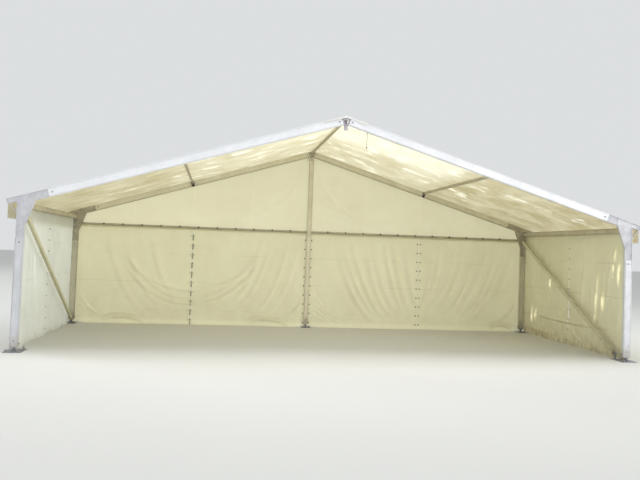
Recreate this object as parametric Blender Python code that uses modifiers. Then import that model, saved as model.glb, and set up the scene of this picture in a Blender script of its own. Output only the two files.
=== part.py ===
"""A one-bay frame marquee, open at the front, built as its real pieces.

Two aluminium portal frames stand 5 m apart on steel base plates. Each has two legs, two rafters, two
welded steel knees and a steel ridge connector. Five purlins join the frames, and each side has one brace.
The rear frame also has a gable upright and two transoms. Coated sheets close the roof, the rear and the sides.

Metres, +Z up, the open front faces -Y. The origin is on the ground at the centre of the footprint.
"""

import math

import bmesh
import bpy
from mathutils import Matrix, Vector

# Overall sizes of the marquee
SPAN_WIDTH = 10.0
BAY_LENGTH = 5.0
EAVE_HEIGHT = 2.35
ROOF_PITCH = math.radians(17.0)

# Aluminium profile of the legs and rafters, with a slot near each edge that holds a sheet's beaded edge
PROFILE_DEPTH = 0.130
PROFILE_WIDTH = 0.070
PROFILE_WALL = 0.004
SLOT_DEPTH = 0.010
SLOT_INSET = 0.012
SLOT_ENGAGE = 0.006

# Aluminium profile of the gable upright
UPRIGHT_DEPTH = 0.100
UPRIGHT_WIDTH = 0.050

# Steel knees at the eaves
KNEE_WIDTH = 0.056
KNEE_ARM = 0.45
KNEE_DROP = 0.64
HAUNCH_REACH = 0.14
HAUNCH_DROP = 0.34
NOSE_LENGTH = 0.170
NOSE_DEPTH = 0.080

# Steel ridge connectors
RIDGE_HALF = 0.085
RIDGE_BAR = 0.016
RIDGE_STUB_LENGTH = 0.080
SPIGOT_LENGTH = 0.12

# Purlins and the shoes that carry them
PURLIN_SIZE = 0.045
EAVE_PURLIN_WIDTH = 0.060
EAVE_PURLIN_DEPTH = 0.085
PURLIN_WALL = 0.003
EAVE_PURLIN_TOP_BELOW_EAVE = 0.090
SHOE_LENGTH = 0.060
SHOE_PLATE = 0.005
SHOE_CHEEK = 0.030
SHOE_BACK = 0.008
SHOE_MARGIN = 0.012

# Transoms across the rear gable, and the pins that carry them
TRANSOM_BELOW_EAVE = 0.27
TRANSOM_RADIUS = 0.024
TRANSOM_WALL = 0.003
TRANSOM_PIN_LENGTH = 0.070

# Side braces and their lugs
BRACE_HEIGHT = 0.080
BRACE_WIDTH = 0.040
BRACE_END = 0.095
BRACE_TOP_BELOW_EAVE = 0.27
BRACE_FOOT_HEIGHT = 0.085
BRACE_PIN_TOP_REACH = 0.085
BRACE_PIN_FOOT_REACH = 0.262
BRACE_INSET = 0.055
LUG_THICKNESS = 0.008
LUG_HALF = 0.040

# Base plates, with the heads of the ground stakes that pin them down
PLATE_THICKNESS = 0.010
PLATE_OUTER_REACH = 0.15
LEG_PLATE_INNER_REACH = 0.31
UPRIGHT_PLATE_INNER_REACH = 0.15
LEG_PLATE_WIDTH = 0.26
UPRIGHT_PLATE_WIDTH = 0.20
STEM_WIDTH = 0.040
COLLAR_THICKNESS = 0.008
LEG_FOOT_HEIGHT = 0.070
FOOT_SPIGOT_LENGTH = 0.17
STAKE_RADIUS = 0.0125
STAKE_HEAD_RADIUS = 0.020
STAKE_HEAD_HEIGHT = 0.014
STAKE_STAND = 0.034
STAKE_EDGE = 0.040

# Coated sheets
SHEET = 0.003
ROOF_OVERHANG = 0.157
VALANCE_OUT = 0.140
VALANCE_DROP = 0.28
WALL_FOOT = 0.0125
PANEL_GAP = 0.006
REAR_PANELS = 4
WALL_OVER_TRANSOM = 0.020
GABLE_UNDER_TRANSOM = 0.060
GABLE_EDGE = 0.020
SIDE_OVER_PURLIN = 0.010

# Gaps between pieces that touch, and between pieces that slide into each other
TOUCH = 0.0003
SPIGOT_CLEARANCE = 0.0005
OVERLAP = 0.002

# Facets of round pieces, and how meshes are cleaned and shaded
ROUND_SIDES = 24
STAKE_SIDES = 16
WELD_DISTANCE = 0.00001
SHARP_ANGLE = math.radians(40)

# Values worked out from the sizes above
HALF_SPAN = SPAN_WIDTH / 2
HALF_BAY = BAY_LENGTH / 2
RIDGE_HEIGHT = EAVE_HEIGHT + HALF_SPAN * math.tan(ROOF_PITCH)
SLOPE_LENGTH = HALF_SPAN / math.cos(ROOF_PITCH)
LEG_CENTRE = HALF_SPAN - PROFILE_DEPTH / 2
LEG_INNER = HALF_SPAN - PROFILE_DEPTH
LEG_TOP = EAVE_HEIGHT - KNEE_DROP
SLOT_WIDTH = SHEET + 2 * TOUCH
SHEET_EDGE = HALF_BAY - PROFILE_WIDTH / 2 + SLOT_ENGAGE
HOLLOW_HALF_WIDTH = PROFILE_WIDTH / 2 - PROFILE_WALL
UPRIGHT_HALF_HOLLOW = UPRIGHT_DEPTH / 2 - SLOT_INSET - SLOT_WIDTH / 2 - PROFILE_WALL
HOLLOW_HALF_DEPTH = PROFILE_DEPTH / 2 - SLOT_INSET - SLOT_WIDTH / 2 - PROFILE_WALL
EAVE_PURLIN_HEIGHT = EAVE_HEIGHT - EAVE_PURLIN_TOP_BELOW_EAVE - EAVE_PURLIN_DEPTH / 2
TRANSOM_HEIGHT = EAVE_HEIGHT - TRANSOM_BELOW_EAVE
BRACE_TOP_HEIGHT = EAVE_HEIGHT - BRACE_TOP_BELOW_EAVE
BRACE_PLANE = LEG_CENTRE - BRACE_INSET
PURLIN_TOP_DEPTH = SLOT_INSET + SHEET / 2 + TOUCH
UNDER_RIDGE = (RIDGE_HALF * math.sin(ROOF_PITCH)) + PROFILE_DEPTH * math.cos(ROOF_PITCH)

FRONT = -1
REAR = 1
LEFT = -1
RIGHT = 1
SIDE_NAMES = {LEFT: "left", RIGHT: "right"}
END_NAMES = {FRONT: "front", REAR: "rear"}


def clear_scene():
    for old in list(bpy.data.objects):
        bpy.data.objects.remove(old)


clear_scene()
PARTS = bpy.data.collections.new("marquee_tent")
HELPERS = bpy.data.collections.new("helpers")
for new_collection in (PARTS, HELPERS):
    bpy.context.scene.collection.children.link(new_collection)


def make_material(name, colour, roughness, metallic):
    material = bpy.data.materials.new(name)
    material.use_nodes = True
    shader = material.node_tree.nodes["Principled BSDF"]
    shader.inputs["Base Color"].default_value = (*colour, 1.0)
    shader.inputs["Roughness"].default_value = roughness
    shader.inputs["Metallic"].default_value = metallic
    return material


ALUMINIUM = make_material("mill_aluminium", (0.74, 0.74, 0.73), 0.42, 0.9)
STEEL = make_material("galvanised_steel", (0.50, 0.51, 0.52), 0.55, 0.8)
ROOF_CLOTH = make_material("roof_sheet_pvc", (0.86, 0.85, 0.78), 0.5, 0.0)
WALL_CLOTH = make_material("wall_sheet_pvc", (0.80, 0.78, 0.66), 0.55, 0.0)


def roof_point(side, along, depth):
    """(x, z) of a point on one slope: along is measured down the slope from the ridge, depth below the top face."""
    x = along * math.cos(ROOF_PITCH) - depth * math.sin(ROOF_PITCH)
    z = RIDGE_HEIGHT - along * math.sin(ROOF_PITCH) - depth * math.cos(ROOF_PITCH)
    return side * x, z


def roof_top_at(x):
    """Height of the rafters' top face at a distance x from the ridge line."""
    return RIDGE_HEIGHT - abs(x) * math.tan(ROOF_PITCH)


def slope_axes(side):
    """Axes of a piece that lies on a slope: outward normal, along the bay, and up the slope or down it."""
    normal = Vector((side * math.sin(ROOF_PITCH), 0, math.cos(ROOF_PITCH)))
    along_bay = Vector((0, 1, 0))
    return Matrix((normal, along_bay, normal.cross(along_bay))).transposed()


def placed(rotation, place):
    return Matrix.Translation(Vector(place)) @ rotation.to_4x4()


# The plane of a frame: local x stays x, local y becomes z
UPRIGHT_PLANE = Matrix.Rotation(math.radians(90), 3, "X")
LEVEL = Matrix.Identity(3)


def add_object(name, mesh, matrix, material, helper=False):
    obj = bpy.data.objects.new(name, mesh)
    obj.matrix_world = matrix
    (HELPERS if helper else PARTS).objects.link(obj)
    if material:
        mesh.materials.clear()
        mesh.materials.append(material)
    if helper:
        obj.hide_render = True
        obj.display_type = "WIRE"
    return obj


def outline_piece(name, outlines, thickness, matrix, material, helper=False):
    """A flat outline, with any inner outlines as holes, given a thickness along its own z."""
    curve = bpy.data.curves.new(name, "CURVE")
    curve.dimensions = "2D"
    curve.fill_mode = "BOTH"
    curve.extrude = thickness / 2
    for points in outlines:
        spline = curve.splines.new("POLY")
        spline.points.add(len(points) - 1)
        for point, (x, y) in zip(spline.points, points):
            point.co = (x, y, 0, 1)
        spline.use_cyclic_u = True
    source = add_object(name + "_outline", curve, Matrix.Identity(4), None)
    bpy.context.view_layer.update()
    mesh = bpy.data.meshes.new_from_object(source.evaluated_get(bpy.context.evaluated_depsgraph_get()))
    bpy.data.objects.remove(source)
    shape = bmesh.new()
    shape.from_mesh(mesh)
    bmesh.ops.remove_doubles(shape, verts=shape.verts, dist=WELD_DISTANCE)
    bmesh.ops.recalc_face_normals(shape, faces=shape.faces)
    shape.to_mesh(mesh)
    shape.free()
    return add_object(name, mesh, matrix, material, helper)


def box_piece(name, size, matrix, material, helper=False):
    """A box of this size, centred on its matrix."""
    mesh = bpy.data.meshes.new(name)
    shape = bmesh.new()
    bmesh.ops.create_cube(shape, size=1.0)
    bmesh.ops.scale(shape, vec=Vector(size), verts=shape.verts)
    shape.to_mesh(mesh)
    shape.free()
    return add_object(name, mesh, matrix, material, helper)


def round_piece(name, radius, length, matrix, material, helper=False, sides=ROUND_SIDES):
    """A round bar along its own z, centred on its matrix."""
    mesh = bpy.data.meshes.new(name)
    shape = bmesh.new()
    bmesh.ops.create_cone(
        shape, cap_ends=True, segments=sides, radius1=radius, radius2=radius, depth=length
    )
    shape.to_mesh(mesh)
    shape.free()
    mesh.shade_smooth()
    mesh.set_sharp_from_angle(angle=SHARP_ANGLE)
    return add_object(name, mesh, matrix, material, helper)


def boolean(target, other, operation):
    modifier = target.modifiers.new(operation.lower() + "_" + other.name, "BOOLEAN")
    modifier.operation = operation
    modifier.solver = "EXACT"
    modifier.object = other


def weld(target, *others):
    """Joins helper shapes to a piece, as a weld or a cast boss does."""
    for other in others:
        boolean(target, other, "UNION")


def profile_outlines(depth, width, half_hollow):
    """Section of an aluminium profile: depth along x, width along y, four slots and one hollow."""
    half_depth, half_width = depth / 2, width / 2
    slot_centre = half_depth - SLOT_INSET
    slot_half = SLOT_WIDTH / 2
    lower = [(-half_depth, -half_width)]
    for centre in (-slot_centre, slot_centre):
        lower += [
            (centre - slot_half, -half_width),
            (centre - slot_half, -half_width + SLOT_DEPTH),
            (centre + slot_half, -half_width + SLOT_DEPTH),
            (centre + slot_half, -half_width),
        ]
    lower.append((half_depth, -half_width))
    upper = [(-x, -y) for x, y in lower]
    hollow_width = half_width - PROFILE_WALL
    hollow = [
        (-half_hollow, -hollow_width),
        (half_hollow, -hollow_width),
        (half_hollow, hollow_width),
        (-half_hollow, hollow_width),
    ]
    return [lower + upper, hollow]


def tube_outlines(width, depth, wall):
    """Section of a rectangular tube: width along x, depth along y, and the hollow inside its walls."""
    corners = ((-1, -1), (1, -1), (1, 1), (-1, 1))
    return [[(x * (width / 2 - inset), y * (depth / 2 - inset)) for x, y in corners] for inset in (0, wall)]


def shoe(name, place, rotation, end, face_offset, purlin, back_margin, back_below):
    """Welded shoe that a purlin's end drops into: a back plate on the frame, and an open channel.

    place is the purlin's centre in the frame's plane, rotation turns the purlin's section there, and
    purlin is that section's width and depth. The back plate is wider than the channel by back_margin
    on each side, and reaches back_below under the purlin's centre.
    """
    inward = -end
    face = end * HALF_BAY + inward * face_offset
    half_width, half_depth = (size / 2 + TOUCH for size in purlin)
    outer = half_width + SHOE_PLATE
    under = half_depth + SHOE_PLATE
    top = -half_depth + SHOE_CHEEK
    channel = [
        (-outer, -under), (outer, -under), (outer, top), (half_width, top),
        (half_width, -half_depth), (-half_width, -half_depth), (-half_width, top), (-outer, top),
    ]
    channel_length = SHOE_LENGTH + SHOE_BACK
    centre_y = face + inward * (channel_length / 2 - OVERLAP / 2)
    turned = rotation @ UPRIGHT_PLANE
    channel_piece = outline_piece(
        name + "_channel", [channel], channel_length,
        placed(turned, (place[0], centre_y, place[1])), None, helper=True,
    )
    back_top = half_depth - SHOE_MARGIN
    back_half_width = outer + back_margin
    back = [
        (-back_half_width, -back_below), (back_half_width, -back_below),
        (back_half_width, back_top), (-back_half_width, back_top),
    ]
    back_length = SHOE_BACK + OVERLAP
    back_y = face + inward * (back_length / 2 - OVERLAP)
    back_piece = outline_piece(
        name + "_back", [back], back_length,
        placed(turned, (place[0], back_y, place[1])), None, helper=True,
    )
    return channel_piece, back_piece


def spigot_box(name, side, along, length):
    """Steel spigot of a knee or ridge connector, inside the hollow of a rafter."""
    x, z = roof_point(side, along, PROFILE_DEPTH / 2)
    size = (
        2 * (HOLLOW_HALF_DEPTH - SPIGOT_CLEARANCE),
        2 * (HOLLOW_HALF_WIDTH - SPIGOT_CLEARANCE),
        length,
    )
    return x, z, size


# Legs: aluminium profile standing on the base plate's collar, up to the knee
def build_leg(end, side):
    length = LEG_TOP - LEG_FOOT_HEIGHT - 2 * TOUCH
    outline_piece(
        f"{END_NAMES[end]}_{SIDE_NAMES[side]}_leg",
        profile_outlines(PROFILE_DEPTH, PROFILE_WIDTH, HOLLOW_HALF_DEPTH),
        length,
        placed(LEVEL, (side * LEG_CENTRE, end * HALF_BAY, LEG_FOOT_HEIGHT + TOUCH + length / 2)),
        ALUMINIUM,
    )


# Rafters: the same profile, square cut between ridge connector and knee, with a shoe for the middle purlin
MID_PURLIN_ALONG = (SLOPE_LENGTH + ROOF_OVERHANG) / 2
MID_PURLIN_DEPTH = PURLIN_TOP_DEPTH + PURLIN_SIZE / 2


def purlin_turn(side):
    """Turns a purlin's section so that its top lies under the slope."""
    return Matrix.Rotation(side * ROOF_PITCH, 3, "Y")


def build_rafter(end, side):
    start = RIDGE_HALF + TOUCH
    finish = SLOPE_LENGTH - KNEE_ARM - TOUCH
    x, z = roof_point(side, (start + finish) / 2, PROFILE_DEPTH / 2)
    name = f"{END_NAMES[end]}_{SIDE_NAMES[side]}_rafter"
    rafter = outline_piece(
        name,
        profile_outlines(PROFILE_DEPTH, PROFILE_WIDTH, HOLLOW_HALF_DEPTH),
        finish - start,
        placed(slope_axes(side), (x, end * HALF_BAY, z)),
        ALUMINIUM,
    )
    place = roof_point(side, MID_PURLIN_ALONG, MID_PURLIN_DEPTH)
    back_below = PROFILE_DEPTH - MID_PURLIN_DEPTH - SHOE_MARGIN
    weld(
        rafter,
        *shoe(
            name + "_shoe", place, purlin_turn(side), end, PROFILE_WIDTH / 2,
            (PURLIN_SIZE, PURLIN_SIZE), SHOE_MARGIN, back_below,
        ),
    )


# Knees: welded steel corners with a haunch, a nose under the roof's edge, and spigots into leg and rafter
def knee_outline(side):
    nose_end = SLOPE_LENGTH + NOSE_LENGTH
    nose_top = roof_point(side, nose_end, 0)
    nose_under = roof_point(side, nose_end, NOSE_DEPTH)
    arm_top = roof_point(side, SLOPE_LENGTH - KNEE_ARM, 0)
    arm_under = roof_point(side, SLOPE_LENGTH - KNEE_ARM, PROFILE_DEPTH)
    nose_root = roof_top_at(HALF_SPAN) - NOSE_DEPTH / math.cos(ROOF_PITCH)
    under_drop = PROFILE_DEPTH / math.cos(ROOF_PITCH)
    haunch_in = LEG_INNER - HAUNCH_REACH
    haunch_top = (side * haunch_in, roof_top_at(haunch_in) - under_drop)
    haunch_foot = (side * LEG_INNER, roof_top_at(LEG_INNER) - under_drop - HAUNCH_DROP)
    return haunch_top, haunch_foot, [
        arm_top, nose_top, nose_under, (side * HALF_SPAN, nose_root),
        (side * HALF_SPAN, LEG_TOP), (side * LEG_INNER, LEG_TOP),
        haunch_foot, haunch_top, arm_under,
    ]


def knee_inner_face_at(height):
    """Distance from the centre line to the knee's inner face: below the haunch, on it, or above it."""
    (top_x, top_z), (foot_x, foot_z), _ = knee_outline(RIGHT)
    if height < foot_z:
        return foot_x
    if height > top_z:
        return top_x - (height - top_z) / math.tan(ROOF_PITCH)
    return top_x + (top_z - height) / (top_z - foot_z) * (foot_x - top_x)


def brace_runs_down_to_front(side):
    """The right brace runs from the rear knee to the front foot, and the left one the other way."""
    return side == RIGHT


def brace_top_end(side):
    return REAR if brace_runs_down_to_front(side) else FRONT


def build_knee(end, side):
    name = f"{END_NAMES[end]}_{SIDE_NAMES[side]}_knee"
    _, _, outline = knee_outline(side)
    knee = outline_piece(
        name, [outline], KNEE_WIDTH, placed(UPRIGHT_PLANE, (0, end * HALF_BAY, 0)), STEEL
    )
    leg_spigot = box_piece(
        name + "_leg_spigot",
        (
            2 * (HOLLOW_HALF_DEPTH - SPIGOT_CLEARANCE),
            2 * (HOLLOW_HALF_WIDTH - SPIGOT_CLEARANCE),
            SPIGOT_LENGTH + OVERLAP,
        ),
        placed(LEVEL, (side * LEG_CENTRE, end * HALF_BAY, LEG_TOP - SPIGOT_LENGTH / 2 + OVERLAP / 2)),
        None, helper=True,
    )
    along = SLOPE_LENGTH - KNEE_ARM - SPIGOT_LENGTH / 2 + OVERLAP / 2
    x, z, size = spigot_box(name, side, along, SPIGOT_LENGTH + OVERLAP)
    rafter_spigot = box_piece(
        name + "_rafter_spigot", size, placed(slope_axes(side), (x, end * HALF_BAY, z)), None, helper=True
    )
    weld(knee, leg_spigot, rafter_spigot)
    weld(
        knee,
        *shoe(
            name + "_shoe", (side * LEG_CENTRE, EAVE_PURLIN_HEIGHT), LEVEL, end, KNEE_WIDTH / 2,
            (EAVE_PURLIN_WIDTH, EAVE_PURLIN_DEPTH), 0,
            EAVE_PURLIN_DEPTH / 2 + SHOE_PLATE + SHOE_MARGIN,
        ),
    )
    if end == brace_top_end(side):
        lug_length = BRACE_PIN_TOP_REACH + LUG_HALF - KNEE_WIDTH / 2 + OVERLAP
        lug_y = end * (HALF_BAY - KNEE_WIDTH / 2 - lug_length / 2 + OVERLAP)
        weld(knee, box_piece(
            name + "_lug", (LUG_THICKNESS, lug_length, 2 * LUG_HALF),
            placed(LEVEL, (side * (BRACE_PLANE - LUG_THICKNESS / 2 - TOUCH / 2), lug_y, BRACE_TOP_HEIGHT)),
            None, helper=True,
        ))
    if end == REAR:
        pin_start = knee_inner_face_at(TRANSOM_HEIGHT + TRANSOM_RADIUS) - TRANSOM_PIN_LENGTH
        pin_finish = knee_inner_face_at(TRANSOM_HEIGHT) + TRANSOM_RADIUS
        weld(knee, round_piece(
            name + "_transom_pin", TRANSOM_RADIUS - TRANSOM_WALL - SPIGOT_CLEARANCE, pin_finish - pin_start,
            placed(
                Matrix.Rotation(math.radians(90), 3, "Y"),
                (side * (pin_start + pin_finish) / 2, end * HALF_BAY, TRANSOM_HEIGHT),
            ),
            None, helper=True,
        ))


# Ridge connectors: a steel frame between the rafters' ends, with a stub below for a gable upright
def build_ridge_connector(end):
    name = f"{END_NAMES[end]}_ridge_connector"
    outer = [roof_point(RIGHT, 0, 0), roof_point(RIGHT, RIDGE_HALF, 0), roof_point(RIGHT, RIDGE_HALF, PROFILE_DEPTH)]
    outer += [(-x, z) for x, z in outer[:0:-1]]
    bar_along = RIDGE_HALF - RIDGE_BAR
    inner = [
        (0, RIDGE_HEIGHT - RIDGE_BAR / math.cos(ROOF_PITCH)),
        roof_point(RIGHT, bar_along, RIDGE_BAR),
        roof_point(RIGHT, bar_along, PROFILE_DEPTH - RIDGE_BAR),
    ]
    inner += [(-x, z) for x, z in inner[:0:-1]]
    connector = outline_piece(
        name, [outer, inner], KNEE_WIDTH, placed(UPRIGHT_PLANE, (0, end * HALF_BAY, 0)), STEEL
    )
    stub_length = RIDGE_STUB_LENGTH + RIDGE_BAR / 2
    under = RIDGE_HEIGHT - UNDER_RIDGE
    stub = box_piece(
        name + "_stub",
        (
            2 * (UPRIGHT_HALF_HOLLOW - SPIGOT_CLEARANCE),
            UPRIGHT_WIDTH - 2 * PROFILE_WALL - 2 * SPIGOT_CLEARANCE,
            stub_length,
        ),
        placed(LEVEL, (0, end * HALF_BAY, under + RIDGE_BAR / 2 - stub_length / 2)),
        None, helper=True,
    )
    weld(connector, stub)
    for side in (LEFT, RIGHT):
        along = RIDGE_HALF + SPIGOT_LENGTH / 2 - OVERLAP / 2
        x, z, size = spigot_box(name, side, along, SPIGOT_LENGTH + OVERLAP)
        weld(connector, box_piece(
            f"{name}_{SIDE_NAMES[side]}_spigot", size,
            placed(slope_axes(side), (x, end * HALF_BAY, z)), None, helper=True,
        ))
    weld(
        connector,
        *shoe(
            name + "_shoe", (0, RIDGE_PURLIN_HEIGHT), LEVEL, end, KNEE_WIDTH / 2,
            (PURLIN_SIZE, PURLIN_SIZE), 0, RIDGE_PURLIN_HEIGHT - under - RIDGE_BAR / 2,
        ),
    )


# Purlins: tubes between the frames, lying in the shoes. The ridge and middle ones are square
RIDGE_PURLIN_HEIGHT = (
    roof_top_at(PURLIN_SIZE / 2) - PURLIN_TOP_DEPTH / math.cos(ROOF_PITCH) - PURLIN_SIZE / 2
)


def build_purlin(name, place, rotation, face_offset, width, depth):
    length = 2 * (HALF_BAY - face_offset - SHOE_BACK - TOUCH)
    outline_piece(
        name, tube_outlines(width, depth, PURLIN_WALL), length,
        placed(rotation @ UPRIGHT_PLANE, (place[0], 0, place[1])), ALUMINIUM,
    )


def build_purlins():
    build_purlin("ridge_purlin", (0, RIDGE_PURLIN_HEIGHT), LEVEL, KNEE_WIDTH / 2, PURLIN_SIZE, PURLIN_SIZE)
    for side in (LEFT, RIGHT):
        build_purlin(
            f"{SIDE_NAMES[side]}_middle_purlin", roof_point(side, MID_PURLIN_ALONG, MID_PURLIN_DEPTH),
            purlin_turn(side), PROFILE_WIDTH / 2, PURLIN_SIZE, PURLIN_SIZE,
        )
        build_purlin(
            f"{SIDE_NAMES[side]}_eave_purlin", (side * LEG_CENTRE, EAVE_PURLIN_HEIGHT),
            LEVEL, KNEE_WIDTH / 2, EAVE_PURLIN_WIDTH, EAVE_PURLIN_DEPTH,
        )


# Gable upright of the rear frame, from its base plate to the ridge connector, with a pin for each transom
def build_upright():
    foot = LEG_FOOT_HEIGHT + TOUCH
    under_rafters = roof_top_at(UPRIGHT_DEPTH / 2) - PROFILE_DEPTH / math.cos(ROOF_PITCH)
    top = min(RIDGE_HEIGHT - UNDER_RIDGE, under_rafters) - TOUCH
    upright = outline_piece(
        "rear_gable_upright",
        profile_outlines(UPRIGHT_DEPTH, UPRIGHT_WIDTH, UPRIGHT_HALF_HOLLOW),
        top - foot,
        placed(LEVEL, (0, HALF_BAY, (foot + top) / 2)),
        ALUMINIUM,
    )
    root = UPRIGHT_DEPTH / 2 - PROFILE_WALL
    reach = UPRIGHT_DEPTH / 2 + TRANSOM_PIN_LENGTH
    for side in (LEFT, RIGHT):
        weld(upright, round_piece(
            f"upright_{SIDE_NAMES[side]}_transom_pin",
            TRANSOM_RADIUS - TRANSOM_WALL - SPIGOT_CLEARANCE, reach - root,
            placed(
                Matrix.Rotation(math.radians(90), 3, "Y"),
                (side * (root + reach) / 2, HALF_BAY, TRANSOM_HEIGHT),
            ),
            None, helper=True,
        ))


# Transoms: round tubes from the upright to the knees, which the rear wall sheets hang from
def circle_points(radius):
    step = 2 * math.pi / ROUND_SIDES
    return [(radius * math.cos(i * step), radius * math.sin(i * step)) for i in range(ROUND_SIDES)]


def build_transom(side):
    start = UPRIGHT_DEPTH / 2 + TOUCH
    finish = knee_inner_face_at(TRANSOM_HEIGHT + TRANSOM_RADIUS) - TOUCH
    outline_piece(
        f"rear_{SIDE_NAMES[side]}_transom",
        [circle_points(TRANSOM_RADIUS), circle_points(TRANSOM_RADIUS - TRANSOM_WALL)],
        finish - start,
        placed(Matrix.Rotation(math.radians(90), 3, "Y"), (side * (start + finish) / 2, HALF_BAY, TRANSOM_HEIGHT)),
        ALUMINIUM,
    )


# Braces: rectangular tubes with flat tongues, each beside the lug that it is bolted to
def build_brace(side):
    top_end = brace_top_end(side)
    top = Vector((0, top_end * (HALF_BAY - BRACE_PIN_TOP_REACH), BRACE_TOP_HEIGHT))
    foot = Vector((0, -top_end * (HALF_BAY - BRACE_PIN_FOOT_REACH), BRACE_FOOT_HEIGHT))
    run = top - foot
    direction = run.normalized()
    across = Vector((1, 0, 0))
    rotation = Matrix((across, direction.cross(across), direction)).transposed()
    middle = (top + foot) / 2
    name = f"{SIDE_NAMES[side]}_wall_brace"
    brace = box_piece(
        name, (BRACE_WIDTH, BRACE_HEIGHT, run.length - 2 * BRACE_END),
        placed(rotation, (side * BRACE_PLANE, middle.y, middle.z)), ALUMINIUM,
    )
    tongue_x = side * (BRACE_PLANE + LUG_THICKNESS / 2 + TOUCH / 2)
    for label, place, sign in (("top", top, 1), ("foot", foot, -1)):
        tongue_length = BRACE_END + LUG_HALF / 2 + OVERLAP
        centre = place + sign * direction * (LUG_HALF / 2 - tongue_length / 2)
        weld(brace, box_piece(
            f"{name}_{label}_tongue", (LUG_THICKNESS, BRACE_HEIGHT - 2 * OVERLAP, tongue_length),
            placed(rotation, (tongue_x, centre.y, centre.z)), None, helper=True,
        ))


# Base plates: steel plate, stem and collar, a spigot into the leg, and the heads of two ground stakes.
# A leg's plate reaches further inwards than outwards, and carries the lug for a brace's foot
def build_base_plate(name, x, end, plate_width, inner_reach, spigot_half_depth, spigot_half_width, lug_side):
    y = end * HALF_BAY
    plate_length = PLATE_OUTER_REACH + inner_reach
    plate_y = y + end * (PLATE_OUTER_REACH - inner_reach) / 2
    plate = box_piece(
        name, (plate_width, plate_length, PLATE_THICKNESS),
        placed(LEVEL, (x, plate_y, PLATE_THICKNESS / 2)), STEEL,
    )
    stem_bottom = PLATE_THICKNESS - OVERLAP
    stem_top = LEG_FOOT_HEIGHT + FOOT_SPIGOT_LENGTH
    spigot_width = 2 * (spigot_half_width - SPIGOT_CLEARANCE)
    stem = box_piece(
        name + "_stem", (STEM_WIDTH, spigot_width, stem_top - stem_bottom),
        placed(LEVEL, (x, y, (stem_top + stem_bottom) / 2)), None, helper=True,
    )
    collar = box_piece(
        name + "_collar", (2 * spigot_half_depth, spigot_width + 2 * OVERLAP, COLLAR_THICKNESS),
        placed(LEVEL, (x, y, LEG_FOOT_HEIGHT - COLLAR_THICKNESS / 2)), None, helper=True,
    )
    weld(plate, stem, collar)
    for sign in (LEFT, RIGHT):
        stake_x = x + sign * (plate_width / 2 - STAKE_EDGE)
        stake_y = plate_y - sign * end * (plate_length / 2 - STAKE_EDGE)
        shank_top = PLATE_THICKNESS + STAKE_STAND - STAKE_HEAD_HEIGHT / 2
        shank_foot = PLATE_THICKNESS - OVERLAP
        shank = round_piece(
            f"{name}_stake_{SIDE_NAMES[sign]}", STAKE_RADIUS, shank_top - shank_foot,
            placed(LEVEL, (stake_x, stake_y, (shank_top + shank_foot) / 2)), None, helper=True, sides=STAKE_SIDES,
        )
        head_z = PLATE_THICKNESS + STAKE_STAND - STAKE_HEAD_HEIGHT / 2
        head = round_piece(
            f"{name}_stake_head_{SIDE_NAMES[sign]}", STAKE_HEAD_RADIUS, STAKE_HEAD_HEIGHT,
            placed(LEVEL, (stake_x, stake_y, head_z)), None, helper=True, sides=STAKE_SIDES,
        )
        weld(plate, shank, head)
    if lug_side:
        lug_length = 2 * LUG_HALF
        lug_top = BRACE_FOOT_HEIGHT + LUG_HALF
        lug_y = end * (HALF_BAY - BRACE_PIN_FOOT_REACH)
        lug_x = lug_side * (BRACE_PLANE - LUG_THICKNESS / 2 - TOUCH / 2)
        weld(plate, box_piece(
            name + "_lug", (LUG_THICKNESS, lug_length, lug_top - PLATE_THICKNESS + OVERLAP),
            placed(LEVEL, (lug_x, lug_y, (lug_top + PLATE_THICKNESS - OVERLAP) / 2)), None, helper=True,
        ))


def build_base_plates():
    for end in (FRONT, REAR):
        for side in (LEFT, RIGHT):
            lug_side = side if end == -brace_top_end(side) else 0
            build_base_plate(
                f"{END_NAMES[end]}_{SIDE_NAMES[side]}_base_plate", side * LEG_CENTRE, end,
                LEG_PLATE_WIDTH, LEG_PLATE_INNER_REACH, HOLLOW_HALF_DEPTH, HOLLOW_HALF_WIDTH, lug_side,
            )
    build_base_plate(
        "rear_upright_base_plate", 0, REAR, UPRIGHT_PLATE_WIDTH, UPRIGHT_PLATE_INNER_REACH,
        UPRIGHT_HALF_HOLLOW, UPRIGHT_WIDTH / 2 - PROFILE_WALL, 0,
    )


# Roof sheet: one coated sheet over the ridge, held in the rafters' slots, and past the eaves
def build_roof_sheet():
    run = SLOPE_LENGTH + ROOF_OVERHANG
    ridge = (0, RIDGE_HEIGHT - SLOT_INSET / math.cos(ROOF_PITCH))
    line = [roof_point(LEFT, run, SLOT_INSET), ridge, roof_point(RIGHT, run, SLOT_INSET)]
    mesh = bpy.data.meshes.new("roof_sheet")
    shape = bmesh.new()
    rows = [[shape.verts.new((x, y, z)) for x, z in line] for y in (-SHEET_EDGE, SHEET_EDGE)]
    for i in range(len(line) - 1):
        shape.faces.new((rows[0][i], rows[0][i + 1], rows[1][i + 1], rows[1][i]))
    shape.to_mesh(mesh)
    shape.free()
    sheet = add_object("roof_sheet", mesh, Matrix.Identity(4), ROOF_CLOTH)
    shell = sheet.modifiers.new("thickness", "SOLIDIFY")
    shell.thickness = SHEET
    shell.offset = 0
    shell.use_even_offset = True


# Valances: strips that hang from the roof sheet's edges
def build_valance(side):
    x = HALF_SPAN + VALANCE_OUT
    outer = x + SHEET / 2
    top = roof_top_at(outer) - (SLOT_INSET + SHEET / 2) / math.cos(ROOF_PITCH) - TOUCH
    box_piece(
        f"{SIDE_NAMES[side]}_valance",
        (SHEET, 2 * SHEET_EDGE, VALANCE_DROP),
        placed(LEVEL, (side * x, 0, top - VALANCE_DROP / 2)),
        ROOF_CLOTH,
    )


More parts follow.
